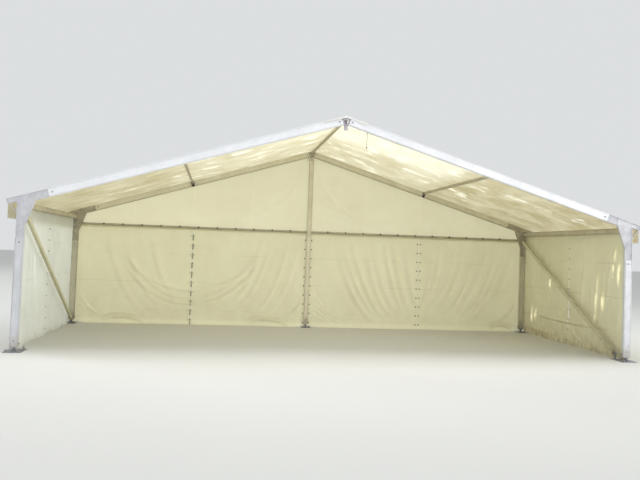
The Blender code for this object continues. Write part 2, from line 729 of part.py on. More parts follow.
# Rear wall: laced panels that hang from the transoms, and one gable sheet over their top edges
def build_rear_wall():
    inner_y = HALF_BAY + PROFILE_WIDTH / 2 + TOUCH
    height = TRANSOM_HEIGHT + WALL_OVER_TRANSOM - WALL_FOOT
    pitch = SPAN_WIDTH / REAR_PANELS
    for number in range(REAR_PANELS):
        centre_x = -HALF_SPAN + (number + 0.5) * pitch
        box_piece(
            f"rear_wall_panel_{number + 1}", (pitch - PANEL_GAP, SHEET, height),
            placed(LEVEL, (centre_x, inner_y + SHEET / 2, WALL_FOOT + height / 2)), WALL_CLOTH,
        )
    gable_y = inner_y + SHEET + TOUCH
    foot = TRANSOM_HEIGHT - GABLE_UNDER_TRANSOM
    edge = HALF_SPAN - GABLE_EDGE
    outline = [
        (-edge, foot), (edge, foot), (edge, roof_top_at(edge) - GABLE_EDGE),
        (0, RIDGE_HEIGHT - GABLE_EDGE), (-edge, roof_top_at(edge) - GABLE_EDGE),
    ]
    outline_piece(
        "rear_gable_sheet", [outline], SHEET,
        placed(UPRIGHT_PLANE, (0, gable_y + SHEET / 2, 0)), WALL_CLOTH,
    )


# Side walls: two laced panels a side, from leg to leg in the slots near the legs' outer faces
def build_side_wall(side):
    x = HALF_SPAN - SLOT_INSET
    top = EAVE_PURLIN_HEIGHT + EAVE_PURLIN_DEPTH / 2 + SIDE_OVER_PURLIN
    height = top - WALL_FOOT
    width = SHEET_EDGE - PANEL_GAP / 2
    for end in (FRONT, REAR):
        box_piece(
            f"{SIDE_NAMES[side]}_wall_panel_{END_NAMES[end]}", (SHEET, width, height),
            placed(LEVEL, (side * x, end * (PANEL_GAP / 2 + width / 2), WALL_FOOT + height / 2)), WALL_CLOTH,
        )


for frame_end in (FRONT, REAR):
    for frame_side in (LEFT, RIGHT):
        build_leg(frame_end, frame_side)
        build_rafter(frame_end, frame_side)
        build_knee(frame_end, frame_side)
    build_ridge_connector(frame_end)
build_purlins()
build_upright()
for wall_side in (LEFT, RIGHT):
    build_transom(wall_side)
    build_brace(wall_side)
    build_valance(wall_side)
    build_side_wall(wall_side)
build_base_plates()
build_roof_sheet()
build_rear_wall()
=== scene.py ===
"""Looks of a one-bay frame marquee: aluminium frames, steel fittings and laced sheets of coated cloth."""

import math
import random

import bmesh
import bpy
import numpy as np
from mathutils import Matrix, Vector


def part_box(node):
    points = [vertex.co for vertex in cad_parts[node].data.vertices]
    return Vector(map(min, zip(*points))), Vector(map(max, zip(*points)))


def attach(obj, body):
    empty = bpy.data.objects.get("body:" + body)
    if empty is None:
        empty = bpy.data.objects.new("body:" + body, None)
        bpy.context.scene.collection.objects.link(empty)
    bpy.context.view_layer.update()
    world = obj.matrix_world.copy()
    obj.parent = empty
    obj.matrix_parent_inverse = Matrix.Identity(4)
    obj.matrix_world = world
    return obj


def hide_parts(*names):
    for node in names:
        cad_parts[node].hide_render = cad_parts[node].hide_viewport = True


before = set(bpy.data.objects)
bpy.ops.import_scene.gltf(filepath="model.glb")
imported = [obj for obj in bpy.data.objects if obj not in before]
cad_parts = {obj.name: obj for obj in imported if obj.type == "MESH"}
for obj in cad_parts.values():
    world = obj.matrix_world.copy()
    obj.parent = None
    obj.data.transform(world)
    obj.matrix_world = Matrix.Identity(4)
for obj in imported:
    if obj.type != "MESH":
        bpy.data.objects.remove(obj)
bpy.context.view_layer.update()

# Camera, floor and light
# The camera stands left of the middle at eye height, and is held a little askew, as the photograph was taken.
# The floor is one plain pale sheet, and the light is a bright room with six large soft lamps.

EYE = Vector((-1.966, -15.896, 1.696))
TURNED_RIGHT = math.radians(9.149)
TILTED_UP = math.radians(2.872)
HELD_ASKEW = math.radians(2.084)
LENS = 47.21
SHIFT_ACROSS = -0.05403
SHIFT_UP = -0.04808


def put_in_scene(name, data):
    made = bpy.data.objects.new(name, data)
    bpy.context.scene.collection.objects.link(made)
    return made


def axes_at(place, first, second):
    """Matrix of a piece at a place, with its own x and y along these two directions"""
    first, second = Vector(first).normalized(), Vector(second).normalized()
    turned = Matrix((first, second, first.cross(second))).transposed()
    return Matrix.Translation(Vector(place)) @ turned.to_4x4()


ahead = Vector((
    math.sin(TURNED_RIGHT) * math.cos(TILTED_UP),
    math.cos(TURNED_RIGHT) * math.cos(TILTED_UP),
    math.sin(TILTED_UP),
))
level_right = Vector((math.cos(TURNED_RIGHT), -math.sin(TURNED_RIGHT), 0))
level_up = level_right.cross(ahead)
picture_right = math.cos(HELD_ASKEW) * level_right + math.sin(HELD_ASKEW) * level_up
picture_up = math.cos(HELD_ASKEW) * level_up - math.sin(HELD_ASKEW) * level_right
camera_data = bpy.data.cameras.new("photo_camera")
camera_data.lens = LENS
camera_data.shift_x = SHIFT_ACROSS
camera_data.shift_y = SHIFT_UP
camera = put_in_scene("photo_camera", camera_data)
camera.matrix_world = axes_at(EYE, picture_right, picture_up)
bpy.context.scene.camera = camera
bpy.context.scene.view_settings.view_transform = "Standard"


class NodeTree:
    """The nodes of a material or of Geometry Nodes. Each input is another's output or a plain value"""

    def __init__(self, made):
        self.made = made

    def feed(self, socket, value):
        if isinstance(value, bpy.types.NodeSocket):
            self.made.links.new(value, socket)
        else:
            socket.default_value = (*value, 1.0) if socket.type == "RGBA" else value

    def add(self, kind, inputs=None, **settings):
        node = self.made.nodes.new(kind)
        for key, value in settings.items():
            setattr(node, key, value)
        for key, value in (inputs or {}).items():
            self.feed(node.inputs[key], value)
        return node

    def mark(self, name):
        """A value kept on the points of the mesh"""
        return self.add("ShaderNodeAttribute", attribute_name=name).outputs["Fac"]

    def noise(self, place, scale, detail=4.0, roughness=0.55):
        inputs = {"Vector": place, "Scale": scale, "Detail": detail, "Roughness": roughness}
        return self.add("ShaderNodeTexNoise", inputs).outputs["Fac"]

    def spread(self, value, low, high, dark=0.0, light=1.0):
        """Stretches a value between low and high to the range from dark to light"""
        inputs = {"Value": value, "From Min": low, "From Max": high, "To Min": dark, "To Max": light}
        return self.add("ShaderNodeMapRange", inputs).outputs["Result"]

    def blend(self, share, first, second):
        return self.add("ShaderNodeMix", {0: share, 6: first, 7: second}, data_type="RGBA").outputs[2]

    def maths(self, operation, first, second):
        return self.add("ShaderNodeMath", {0: first, 1: second}, operation=operation).outputs[0]

    def plus(self, first, second):
        return self.maths("ADD", first, second)

    def times(self, first, second):
        return self.maths("MULTIPLY", first, second)


def empty_finish(name):
    """A material with only its output node"""
    finish = bpy.data.materials.new(name)
    finish.use_nodes = True
    finish.node_tree.nodes.clear()
    tree = NodeTree(finish.node_tree)
    return finish, tree, tree.add("ShaderNodeOutputMaterial").inputs["Surface"]


def tinted(colour, share):
    """A colour made darker or lighter"""
    return tuple(min(1.0, share * part) for part in colour)


FLOOR_REACH = 120.0
FLOOR_COLOUR = (0.62, 0.62, 0.60)
FLOOR_CLOUDS = 0.4
FLOOR_ROUGHNESS = 0.85

floor_mesh = bpy.data.meshes.new("floor")
floor_corners = [(x * FLOOR_REACH, y * FLOOR_REACH, 0) for x, y in ((-1, -1), (1, -1), (1, 1), (-1, 1))]
floor_mesh.from_pydata(floor_corners, [], [(0, 1, 2, 3)])
floor_finish, tree, surface = empty_finish("pale_floor")
clouded = tree.noise(tree.add("ShaderNodeTexCoord").outputs["Object"], FLOOR_CLOUDS)
floor_tint = tree.blend(clouded, FLOOR_COLOUR, tinted(FLOOR_COLOUR, 0.96))
floor_looks = {"Base Color": floor_tint, "Roughness": FLOOR_ROUGHNESS}
tree.feed(surface, tree.add("ShaderNodeBsdfPrincipled", floor_looks).outputs[0])
floor_mesh.materials.append(floor_finish)
put_in_scene("floor", floor_mesh)


def hang_lamp(name, place, aim, across, high, watts, colour):
    lamp = bpy.data.lights.new(name, "AREA")
    lamp.shape = "RECTANGLE"
    lamp.size = across
    lamp.size_y = high
    lamp.energy = watts
    lamp.color = colour
    holder = put_in_scene(name, lamp)
    holder.location = place
    holder.rotation_mode = "QUATERNION"
    holder.rotation_quaternion = (Vector(aim) - Vector(place)).to_track_quat("-Z", "Y")


ROOM_LIGHT = (0.96, 0.985, 1.0)
ROOM_STRENGTH = 0.75

room = bpy.data.worlds.new("studio")
room.use_nodes = True
room.node_tree.nodes["Background"].inputs["Color"].default_value = (*ROOM_LIGHT, 1.0)
room.node_tree.nodes["Background"].inputs["Strength"].default_value = ROOM_STRENGTH
bpy.context.scene.world = room
hang_lamp("key_lamp", (15, -26, 5.5), (0, 0, 1.5), 10, 7, 1500, (1.0, 0.99, 0.98))
hang_lamp("fill_lamp", (-13, -20, 7), (0, 0, 1.5), 8, 7, 330, (0.97, 0.99, 1.0))
hang_lamp("roof_lamp", (0.0, -2.2, 11.5), (0, 0, 3), 10, 6, 950, (1.0, 1.0, 0.98))
hang_lamp("rear_lamp", (2, 17, 8), (0, 2.5, 1.8), 14, 7, 260, (1.0, 1.0, 0.98))
hang_lamp("left_lamp", (-34, 17, 9), (0, 2, 1.5), 14, 8, 6600, (1.0, 1.0, 0.99))
hang_lamp("right_lamp", (24, -5, 2.8), (5, 0, 1.2), 7, 4, 2500, (1.0, 1.0, 0.97))


# Portal frames: legs and rafters
# Each is a length of extruded aluminium, 130 by 70 mm, with a keder channel near each edge of both wide
# faces and a shallow groove down the middle. The mill finish is streaky. Its colour is painted for the light:
# pale and cool on the front frame, warmer and yellower on the rear frame, which stands in the shade inside.

HALF_SPAN = 5.0
HALF_BAY = 2.5
EAVE_HEIGHT = 2.35
ROOF_PITCH = math.radians(17.0)
RIDGE_HEIGHT = EAVE_HEIGHT + HALF_SPAN * math.tan(ROOF_PITCH)
SLOPE_LENGTH = HALF_SPAN / math.cos(ROOF_PITCH)
PROFILE_DEPTH = 0.130
PROFILE_WIDTH = 0.070
CHANNEL_INSET = 0.012
CHANNEL_MOUTH = 0.0044
CHANNEL_LIP = 0.0018
CHANNEL_BORE = 0.0046
CORNER_ROUND = 0.003
GROOVE_HALF = 0.011
GROOVE_DEEP = 0.0016
PROFILE_WALL = 0.004
LONG_RUN = 0.020
JOINT_GAP = 0.0003
RIDGE_HALF = 0.085
KNEE_ARM = 0.45

FRONT, REAR, LEFT, RIGHT = -1, 1, -1, 1
CORNERS = [(end, side) for end in (FRONT, REAR) for side in (LEFT, RIGHT)]
END_NAMES = {FRONT: "front", REAR: "rear"}
SIDE_NAMES = {LEFT: "left", RIGHT: "right"}
SHADE_ANGLE = math.radians(32)
UPRIGHT_AXES = ((1, 0, 0), (0, 1, 0))
lengths_cut = random.Random(7)


def corner_name(end, side, thing):
    return f"{END_NAMES[end]}_{SIDE_NAMES[side]}_{thing}"


def roof_point(side, along, depth):
    """(x, z) of a point of a slope: along is down it from the ridge, depth below the rafters' top face"""
    x = along * math.cos(ROOF_PITCH) - depth * math.sin(ROOF_PITCH)
    z = RIDGE_HEIGHT - along * math.sin(ROOF_PITCH) - depth * math.cos(ROOF_PITCH)
    return side * x, z


def arc(centre, radius, start, finish, steps):
    """Points round part of a circle, angles in degrees"""
    angles = [math.radians(start + (finish - start) * i / steps) for i in range(steps + 1)]
    return [(centre[0] + radius * math.cos(a), centre[1] + radius * math.sin(a)) for a in angles]


def keder_channel(x, face):
    """Points down one channel in a wide face and back out of it"""
    half = CHANNEL_MOUTH / 2
    deep = CHANNEL_LIP + math.sqrt(CHANNEL_BORE ** 2 - half ** 2)
    opening = math.degrees(math.asin(half / CHANNEL_BORE))
    bore = arc((x, -face + deep), CHANNEL_BORE, 270 - opening, -90 + opening, 10)
    return [(x - half, -face), *bore, (x + half, -face)]


def profile_section(depth, width, groove_half, hollow_half):
    """Outline of the extrusion and its hollow: depth along x, width along y"""
    half_depth, half_width = depth / 2, width / 2
    channel = half_depth - CHANNEL_INSET
    face = arc((-half_depth + CORNER_ROUND, -half_width + CORNER_ROUND), CORNER_ROUND, 180, 270, 4)
    face += keder_channel(-channel, half_width)
    face += [
        (-groove_half, -half_width), (-groove_half + GROOVE_DEEP, -half_width + GROOVE_DEEP),
        (groove_half - GROOVE_DEEP, -half_width + GROOVE_DEEP), (groove_half, -half_width),
    ]
    face += keder_channel(channel, half_width)
    face += arc((half_depth - CORNER_ROUND, -half_width + CORNER_ROUND), CORNER_ROUND, 270, 360, 4)
    outer = face + [(-x, -y) for x, y in face]
    wall_in = half_width - PROFILE_WALL
    hollow = [
        (-hollow_half, -wall_in), (hollow_half, -wall_in), (hollow_half, wall_in), (-hollow_half, wall_in),
    ]
    return [outer, hollow]


def with_midpoints(loop):
    """The same outline with a point in the middle of each long run"""
    points = []
    for here, after in zip(loop, loop[1:] + loop[:1]):
        points.append(here)
        if math.dist(here, after) > LONG_RUN:
            points.append(((here[0] + after[0]) / 2, (here[1] + after[1]) / 2))
    return points


def mesh_of(shape):
    """Turns a bmesh into a mesh"""
    mesh = bpy.data.meshes.new("shape")
    shape.to_mesh(mesh)
    shape.free()
    return mesh


def drawn_length(loops, length, matrix):
    """A section drawn along its own z. Its UV map holds metres round the section and along the piece, and
    from_edge is each point's distance from the nearest corner of the section."""
    shape = bmesh.new()
    loops = [with_midpoints(loop) for loop in loops]
    half_x, half_y = (max(abs(point[i]) for point in loops[0]) for i in (0, 1))
    edge_layer = shape.verts.layers.float.new("from_edge")
    uv = shape.loops.layers.uv.new("UVMap")
    shifted = lengths_cut.uniform(0, 40)
    rings = []
    for loop in loops:
        count = len(loop)
        levels = []
        for z in (-length / 2, length / 2):
            levels.append([shape.verts.new(matrix @ Vector((x, y, z))) for x, y in loop])
            for corner, (x, y) in zip(levels[-1], loop):
                corner[edge_layer] = max(half_x - abs(x), half_y - abs(y))
        rings.append(levels)
        walked = 0.0
        for i in range(count):
            j = (i + 1) % count
            walked_on = walked + math.dist(loop[i], loop[j])
            face = shape.faces.new((levels[0][i], levels[0][j], levels[1][j], levels[1][i]))
            places = ((walked, 0), (walked_on, 0), (walked_on, length), (walked, length))
            for corner, (u, v) in zip(face.loops, places):
                corner[uv].uv = (u, v + shifted)
            walked = walked_on
    for level in (0, 1):
        edges = [
            shape.edges.get((ring[level][i], ring[level][(i + 1) % len(ring[level])]))
            for ring in rings for i in range(len(ring[level]))
        ]
        bmesh.ops.triangle_fill(shape, edges=edges, use_beauty=True)
    bmesh.ops.recalc_face_normals(shape, faces=shape.faces)
    return mesh_of(shape)


def assemble(name, parts, slot, *stands_for, shade=SHADE_ANGLE):
    """One piece from the meshes of each finish, riding on the frame and standing for its CAD nodes"""
    whole = bmesh.new()
    for number, meshes in enumerate(parts.values()):
        for mesh in meshes:
            first = len(whole.faces)
            whole.from_mesh(mesh)
            whole.faces.ensure_lookup_table()
            for face in whole.faces[first:]:
                face.material_index = number
            bpy.data.meshes.remove(mesh)
    made = mesh_of(whole)
    made.name = name
    for finish in parts:
        made.materials.append(finish)
    made.shade_smooth()
    made.set_sharp_from_angle(angle=shade)
    piece = put_in_scene(name, made)
    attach(piece, "root")
    if stands_for:
        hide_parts(*stands_for)
    return piece


def bumpy_surface(tree, surface, colour, rough, metallic, bumps, strength, distance):
    """Ends a material: this colour and roughness over bumps of this strength and height in metres"""
    bump = tree.add("ShaderNodeBump", {"Height": bumps, "Strength": strength, "Distance": distance})
    looks = {"Base Color": colour, "Roughness": rough, "Metallic": metallic, "Normal": bump.outputs[0]}
    tree.feed(surface, tree.add("ShaderNodeBsdfPrincipled", looks).outputs[0])


def mill_aluminium(name, pale, dull, soiled, soil_height, metallic, edge_grime_and_shade):
    """Weathered aluminium: streaks along it, chalky blotches, scratches, edges darkened as grime and painted
    shade, and a soiled foot
    """
    finish, tree, surface = empty_finish(name)
    coordinates = tree.add("ShaderNodeTexCoord")
    place = coordinates.outputs["Object"]
    stretched = {"Vector": coordinates.outputs["UV"], "Scale": (1.0, 0.02, 1.0)}
    drawn = tree.add("ShaderNodeMapping", stretched).outputs[0]
    streaks = tree.noise(drawn, 220.0, 3.0)
    blotches = tree.noise(place, 5.0, 6.0, 0.62)
    specks = tree.noise(place, 90.0, 3.0, 0.6)
    scratches = tree.noise(drawn, 900.0, 2.0)
    streaky = tree.spread(streaks, 0.35, 0.68, 0.0, 0.45)
    tone = tree.plus(streaky, tree.spread(blotches, 0.38, 0.66, 0.0, 0.55))
    colour = tree.blend(tone, pale, dull)
    colour = tree.blend(tree.spread(specks, 0.62, 0.74, 0.0, 0.35), colour, tinted(dull, 0.55))
    smears = tree.spread(tree.noise(drawn, 60.0, 2.0), 0.3, 0.7, -0.006, 0.006)
    # paints grime and shade along the section's edges, as the dark lines where the cloth meets the frame
    grime_and_shade = tree.spread(tree.plus(tree.mark("from_edge"), smears), 0.022, 0.002, 0.0, edge_grime_and_shade)
    colour = tree.blend(grime_and_shade, colour, soiled)
    height = tree.add("ShaderNodeSeparateXYZ", {"Vector": place}).outputs["Z"]
    ragged = tree.plus(height, tree.spread(tree.noise(place, 11.0), 0.3, 0.7, -0.08, 0.08))
    splash = tree.spread(ragged, soil_height, 0.02, 0.0, 0.75)
    colour = tree.blend(splash, colour, soiled)
    rubbed = tree.spread(scratches, 0.4, 0.7, -0.04, 0.08)
    rough = tree.plus(tree.spread(blotches, 0.3, 0.7, 0.38, 0.58), rubbed)
    rough = tree.plus(rough, tree.times(splash, 0.25))
    bumps = tree.plus(tree.times(streaks, 0.6), tree.times(scratches, 0.4))
    bumpy_surface(tree, surface, colour, rough, metallic, bumps, 0.12, 0.0006)
    return finish


# Lit and shaded copies of one mill finish: the front ones are painted pale and cool as if lit from outside,
# and the rear ones are painted warmer as if in the shade inside the tent
LIT_FRONT_PROFILE = mill_aluminium(
    "lit_front_profile_aluminium", (0.68, 0.69, 0.72), (0.56, 0.57, 0.60), (0.42, 0.37, 0.30), 0.30, 0.30, 0.10
)
SHADED_REAR_PROFILE = mill_aluminium(
    "shaded_rear_profile_aluminium", (0.84, 0.80, 0.62), (0.67, 0.63, 0.48), (0.28, 0.25, 0.17), 0.30, 0.16, 0.65
)
SHADED_REAR_LEG_PROFILE = mill_aluminium(
    "shaded_rear_leg_aluminium", (0.66, 0.63, 0.49), (0.52, 0.49, 0.38), (0.24, 0.22, 0.15), 0.30, 0.22, 0.40
)
LIT_FRONT_RAFTER_PROFILE = mill_aluminium(
    "lit_front_rafter_aluminium", (0.90, 0.91, 0.94), (0.78, 0.79, 0.83), (0.42, 0.37, 0.30), 0.30, 0.15, 0.10
)
LEG_FINISH = {FRONT: LIT_FRONT_PROFILE, REAR: SHADED_REAR_LEG_PROFILE}
RAFTER_FINISH = {FRONT: LIT_FRONT_RAFTER_PROFILE, REAR: SHADED_REAR_PROFILE}
LEG_CENTRE = HALF_SPAN - PROFILE_DEPTH / 2
HOLLOW_HALF = PROFILE_DEPTH / 2 - CHANNEL_INSET - CHANNEL_LIP - PROFILE_WALL
PORTAL_SECTION = profile_section(PROFILE_DEPTH, PROFILE_WIDTH, GROOVE_HALF, HOLLOW_HALF)
LEG_FOOT, LEG_TOP = (corner.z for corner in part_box("front_left_leg"))
RAFTER_START = RIDGE_HALF + JOINT_GAP
RAFTER_END = SLOPE_LENGTH - KNEE_ARM - JOINT_GAP

for end, side in CORNERS:
    leg_name = corner_name(end, side, "leg")
    leg_place = (side * LEG_CENTRE, end * HALF_BAY, (LEG_FOOT + LEG_TOP) / 2)
    leg = drawn_length(PORTAL_SECTION, LEG_TOP - LEG_FOOT, axes_at(leg_place, *UPRIGHT_AXES))
    assemble(leg_name + "_profile", {LEG_FINISH[end]: [leg]}, "portal_profile", leg_name)


# Shoes for the purlins
# An open steel channel on a back plate is fixed to the frame at each purlin's end. The purlin drops into
# it from above, and a pin holds it there. The rafters are cut here, with the shoes of the middle purlins
# on them.

PURLIN_SIZE = 0.045
SHOE_LENGTH = 0.060
SHOE_PLATE = 0.005
SHOE_RISE = 0.030
SHOE_BACK = 0.008
SHOE_MARGIN = 0.012
PURLIN_DEPTH = 0.0138
ROOF_OVERHANG = 0.157
MIDDLE_PURLIN_ALONG = (SLOPE_LENGTH + ROOF_OVERHANG) / 2
FINE_EDGE = 0.001
SOFT_EDGE = 0.0015
ROUND_EDGE = 0.002
ROUND_SIDES = 20


def softened(shape, edge):
    """Breaks the sharp edges of a plate or bar, and returns it as a mesh"""
    bmesh.ops.recalc_face_normals(shape, faces=shape.faces)
    sharp = [e for e in shape.edges if len(e.link_faces) == 2 and e.calc_face_angle(0) > SHADE_ANGLE]
    bmesh.ops.bevel(
        shape, geom=sharp, offset=edge, offset_type="OFFSET", segments=2, profile=0.5, affect="EDGES",
        clamp_overlap=True,
    )
    return mesh_of(shape)


def cut_plate(outline, thickness, matrix, edge=SOFT_EDGE):
    """A plate cut to an outline in its own x and y, with its edges broken"""
    shape = bmesh.new()
    bottom = shape.faces.new([shape.verts.new((x, y, -thickness / 2)) for x, y in outline])
    raised = bmesh.ops.extrude_face_region(shape, geom=[bottom])["geom"]
    top = [v for v in raised if isinstance(v, bmesh.types.BMVert)]
    bmesh.ops.translate(shape, vec=(0, 0, thickness), verts=top)
    mesh = softened(shape, edge)
    mesh.transform(matrix)
    return mesh


def flat_bar(size, matrix, edge=SOFT_EDGE):
    """A bar of this size, centred on its matrix, with its edges broken"""
    half_x, half_y = size[0] / 2, size[1] / 2
    outline = [(-half_x, -half_y), (half_x, -half_y), (half_x, half_y), (-half_x, half_y)]
    return cut_plate(outline, size[2], matrix, edge)


def ring_of(radius, sides):
    angles = [2 * math.pi * i / sides for i in range(sides)]
    return [(radius * math.cos(a), radius * math.sin(a)) for a in angles]


def turned_bar(radius, length, matrix, sides=ROUND_SIDES, edge=SOFT_EDGE):
    """A round bar along its own z, centred on its matrix, with its ends chamfered"""
    return cut_plate(ring_of(radius, sides), length, matrix, edge)


def purlin_shoe(place, turn, end, face_offset, width, depth, back_half_width, back_below):
    """Meshes of one shoe for a purlin of this width and depth, centred at place in the frame's plane"""
    face = end * (HALF_BAY - face_offset)
    lean = Matrix.Rotation(turn, 3, "Y")
    sideways, upwards = lean @ Vector((1, 0, 0)), lean @ Vector((0, 0, 1))
    centre = Vector((place[0], 0, place[1]))

    def bar_at(across, up, size, along):
        spot = centre + sideways * across + upwards * up + Vector((0, along, 0))
        return flat_bar(size, axes_at(spot, sideways, upwards))

    middle = face - end * (SHOE_BACK + SHOE_LENGTH / 2)
    cheek = (SHOE_PLATE, SHOE_RISE + SHOE_PLATE, SHOE_LENGTH)
    cheek_centre = -depth / 2 - SHOE_PLATE + cheek[1] / 2
    cheeks = [bar_at(s * (width + SHOE_PLATE) / 2, cheek_centre, cheek, middle) for s in (LEFT, RIGHT)]
    floor_size = (width + 2 * SHOE_PLATE, SHOE_PLATE, SHOE_LENGTH)
    floor_plate = bar_at(0, -(depth + SHOE_PLATE) / 2, floor_size, middle)
    back_top = depth / 2 - SHOE_MARGIN
    back_size = (2 * back_half_width, back_top + back_below, SHOE_BACK)
    back = bar_at(0, (back_top - back_below) / 2, back_size, face - end * SHOE_BACK / 2)
    return [*cheeks, floor_plate, back]


def galvanised_steel(name, bright, dark, stain, metallic, rough):
    """Dip-galvanised steel: a patchy grey spangle, with dark handling marks and rust stains"""
    finish, tree, surface = empty_finish(name)
    place = tree.add("ShaderNodeTexCoord").outputs["Object"]
    cells = tree.add("ShaderNodeTexVoronoi", {"Vector": place, "Scale": 55.0, "Randomness": 1.0})
    spangle = tree.add("ShaderNodeSeparateColor", {"Color": cells.outputs["Color"]}).outputs[0]
    clouds = tree.noise(place, 9.0, 6.0, 0.6)
    fine = tree.noise(place, 140.0, 3.0)
    tone = tree.plus(tree.times(spangle, 0.28), tree.spread(clouds, 0.34, 0.68, 0.0, 0.72))
    colour = tree.blend(tone, bright, dark)
    rust_spots = tree.spread(tree.noise(place, 21.0, 5.0, 0.65), 0.56, 0.70)
    rust = tree.times(rust_spots, tree.spread(clouds, 0.45, 0.60, 0.0, 0.7))
    colour = tree.blend(rust, colour, stain)
    uneven = tree.spread(clouds, 0.3, 0.7, rough - 0.08, rough + 0.12)
    bumps = tree.plus(tree.times(fine, 0.5), tree.times(clouds, 0.5))
    rusty = tree.plus(uneven, tree.times(rust, 0.2))
    bumpy_surface(tree, surface, colour, rusty, metallic, bumps, 0.25, 0.0012)
    return finish


SHOE_STEEL = galvanised_steel(
    "shoe_steel", (0.44, 0.42, 0.37), (0.24, 0.23, 0.20), (0.22, 0.14, 0.08), 0.5, 0.5
)

for end, side in CORNERS:
    rafter_name = corner_name(end, side, "rafter")
    x, z = roof_point(side, (RAFTER_START + RAFTER_END) / 2, PROFILE_DEPTH / 2)
    outward = (side * math.sin(ROOF_PITCH), 0, math.cos(ROOF_PITCH))
    rafter_axes = axes_at((x, end * HALF_BAY, z), outward, (0, 1, 0))
    rafter = drawn_length(PORTAL_SECTION, RAFTER_END - RAFTER_START, rafter_axes)
    assemble(rafter_name + "_profile", {RAFTER_FINISH[end]: [rafter]}, "portal_profile", rafter_name)
    purlin_centre = PURLIN_DEPTH + PURLIN_SIZE / 2
    shoe = purlin_shoe(
        roof_point(side, MIDDLE_PURLIN_ALONG, purlin_centre), side * ROOF_PITCH, end, PROFILE_WIDTH / 2,
        PURLIN_SIZE, PURLIN_SIZE, PURLIN_SIZE / 2 + SHOE_PLATE + SHOE_MARGIN,
        PROFILE_DEPTH - purlin_centre - SHOE_MARGIN,
    )
    assemble(rafter_name + "_purlin_shoe", {SHOE_STEEL: shoe}, "steel_fittings")


# Knees at the eaves
# Each is welded up from steel plate: a web in the frame's plane, flanges all round it, and ribs across
# the corner. The front pair is painted pale and cool as if lit from outside, and the rear pair darker and
# browner as if in the shade inside the tent.

KNEE_WIDTH = 0.056
HAUNCH_REACH = 0.14
HAUNCH_DROP = 0.34
NOSE_LENGTH = 0.170
NOSE_DEPTH = 0.080
FLANGE = 0.007
WEB_IN_FLANGE = 0.6
WEB = 0.030
RIB = 0.008
RIB_INSET = 0.003
LEG_INNER = HALF_SPAN - PROFILE_DEPTH
KNEE_FOOT = EAVE_HEIGHT - 0.64
EAVE_PURLIN_WIDTH = 0.060
EAVE_PURLIN_DEPTH = 0.085
EAVE_PURLIN_HEIGHT = EAVE_HEIGHT - 0.090 - EAVE_PURLIN_DEPTH / 2
BEAD_RADIUS = 0.0032
BEAD_STEP = 0.008
BEAD_OUT = 0.001
LUG_PLATE = 0.008
LUG_HALF = 0.040
TRANSOM_HEIGHT = EAVE_HEIGHT - 0.27
TRANSOM_RADIUS = 0.024
TRANSOM_PIN = 0.070
PIN_RADIUS = 0.0195
BRACE_TOP_HEIGHT = EAVE_HEIGHT - 0.27
BRACE_PLANE = LEG_CENTRE - 0.055
BRACE_TOP_REACH = 0.085
SHARPEST_MITRE = 0.2
IN_FRAME = ((1, 0, 0), (0, 0, 1))
ALONG_SPAN = ((0, 1, 0), (0, 0, 1))
welder = random.Random(23)


def roof_top_at(x):
    return RIDGE_HEIGHT - abs(x) * math.tan(ROOF_PITCH)


def inset_outline(points, distance):
    """The same outline with every edge moved inwards"""
    pairs = list(zip(points, points[1:] + points[:1]))
    turn = 1 if sum(a[0] * b[1] - b[0] * a[1] for a, b in pairs) > 0 else -1
    moved = []
    for i, point in enumerate(points):
        before, here, after = Vector(points[i - 1]), Vector(point), Vector(pairs[i][1])
        run_in, run_out = (here - before).normalized(), (after - here).normalized()
        normal_in = Vector((-run_in.y, run_in.x)) * turn
        normal_out = Vector((-run_out.y, run_out.x)) * turn
        mitre = (normal_in + normal_out).normalized()
        moved.append(tuple(here + mitre * (distance / max(SHARPEST_MITRE, mitre.dot(normal_in)))))
    return moved


def flanges_round(outline, thick, width, matrix):
    """Flange plates along every edge of an outline"""
    inner = inset_outline(outline, thick)
    corners = zip(outline, outline[1:] + outline[:1], inner[1:] + inner[:1], inner)
    return [cut_plate(list(plate), width, matrix, FINE_EDGE) for plate in corners]


def plain_mesh_of(holder):
    """An object's finished shape as a plain mesh. The object is removed"""
    bpy.context.view_layer.update()
    mesh = bpy.data.meshes.new_from_object(holder.evaluated_get(bpy.context.evaluated_depsgraph_get()))
    bpy.data.objects.remove(holder)
    return mesh


def round_line(name, radius, resolution, spots):
    """A curve of this radius through some points"""
    curve = bpy.data.curves.new(name, "CURVE")
    curve.dimensions = "3D"
    curve.bevel_depth = radius
    curve.bevel_resolution = resolution
    curve.use_fill_caps = True
    spline = curve.splines.new("POLY")
    spline.points.add(len(spots) - 1)
    for point, spot in zip(spline.points, spots):
        point.co = (*spot, 1)
    return curve


def weld_bead(points, closed=True):
    """A rippled bead of weld laid along a line of points"""
    line = [Vector(p) for p in points] + ([Vector(points[0])] if closed else [])
    laid = []
    for a, b in zip(line, line[1:]):
        steps = max(1, round((b - a).length / BEAD_STEP))
        laid += [a.lerp(b, i / steps) for i in range(steps)]
    if not closed:
        laid.append(line[-1])
    curve = round_line("bead", BEAD_RADIUS, 1, laid)
    for point in curve.splines[0].points:
        point.radius = welder.uniform(0.7, 1.25)
    curve.splines[0].use_cyclic_u = closed
    mesh = plain_mesh_of(put_in_scene("bead", curve))
    bpy.data.curves.remove(curve)
    return mesh


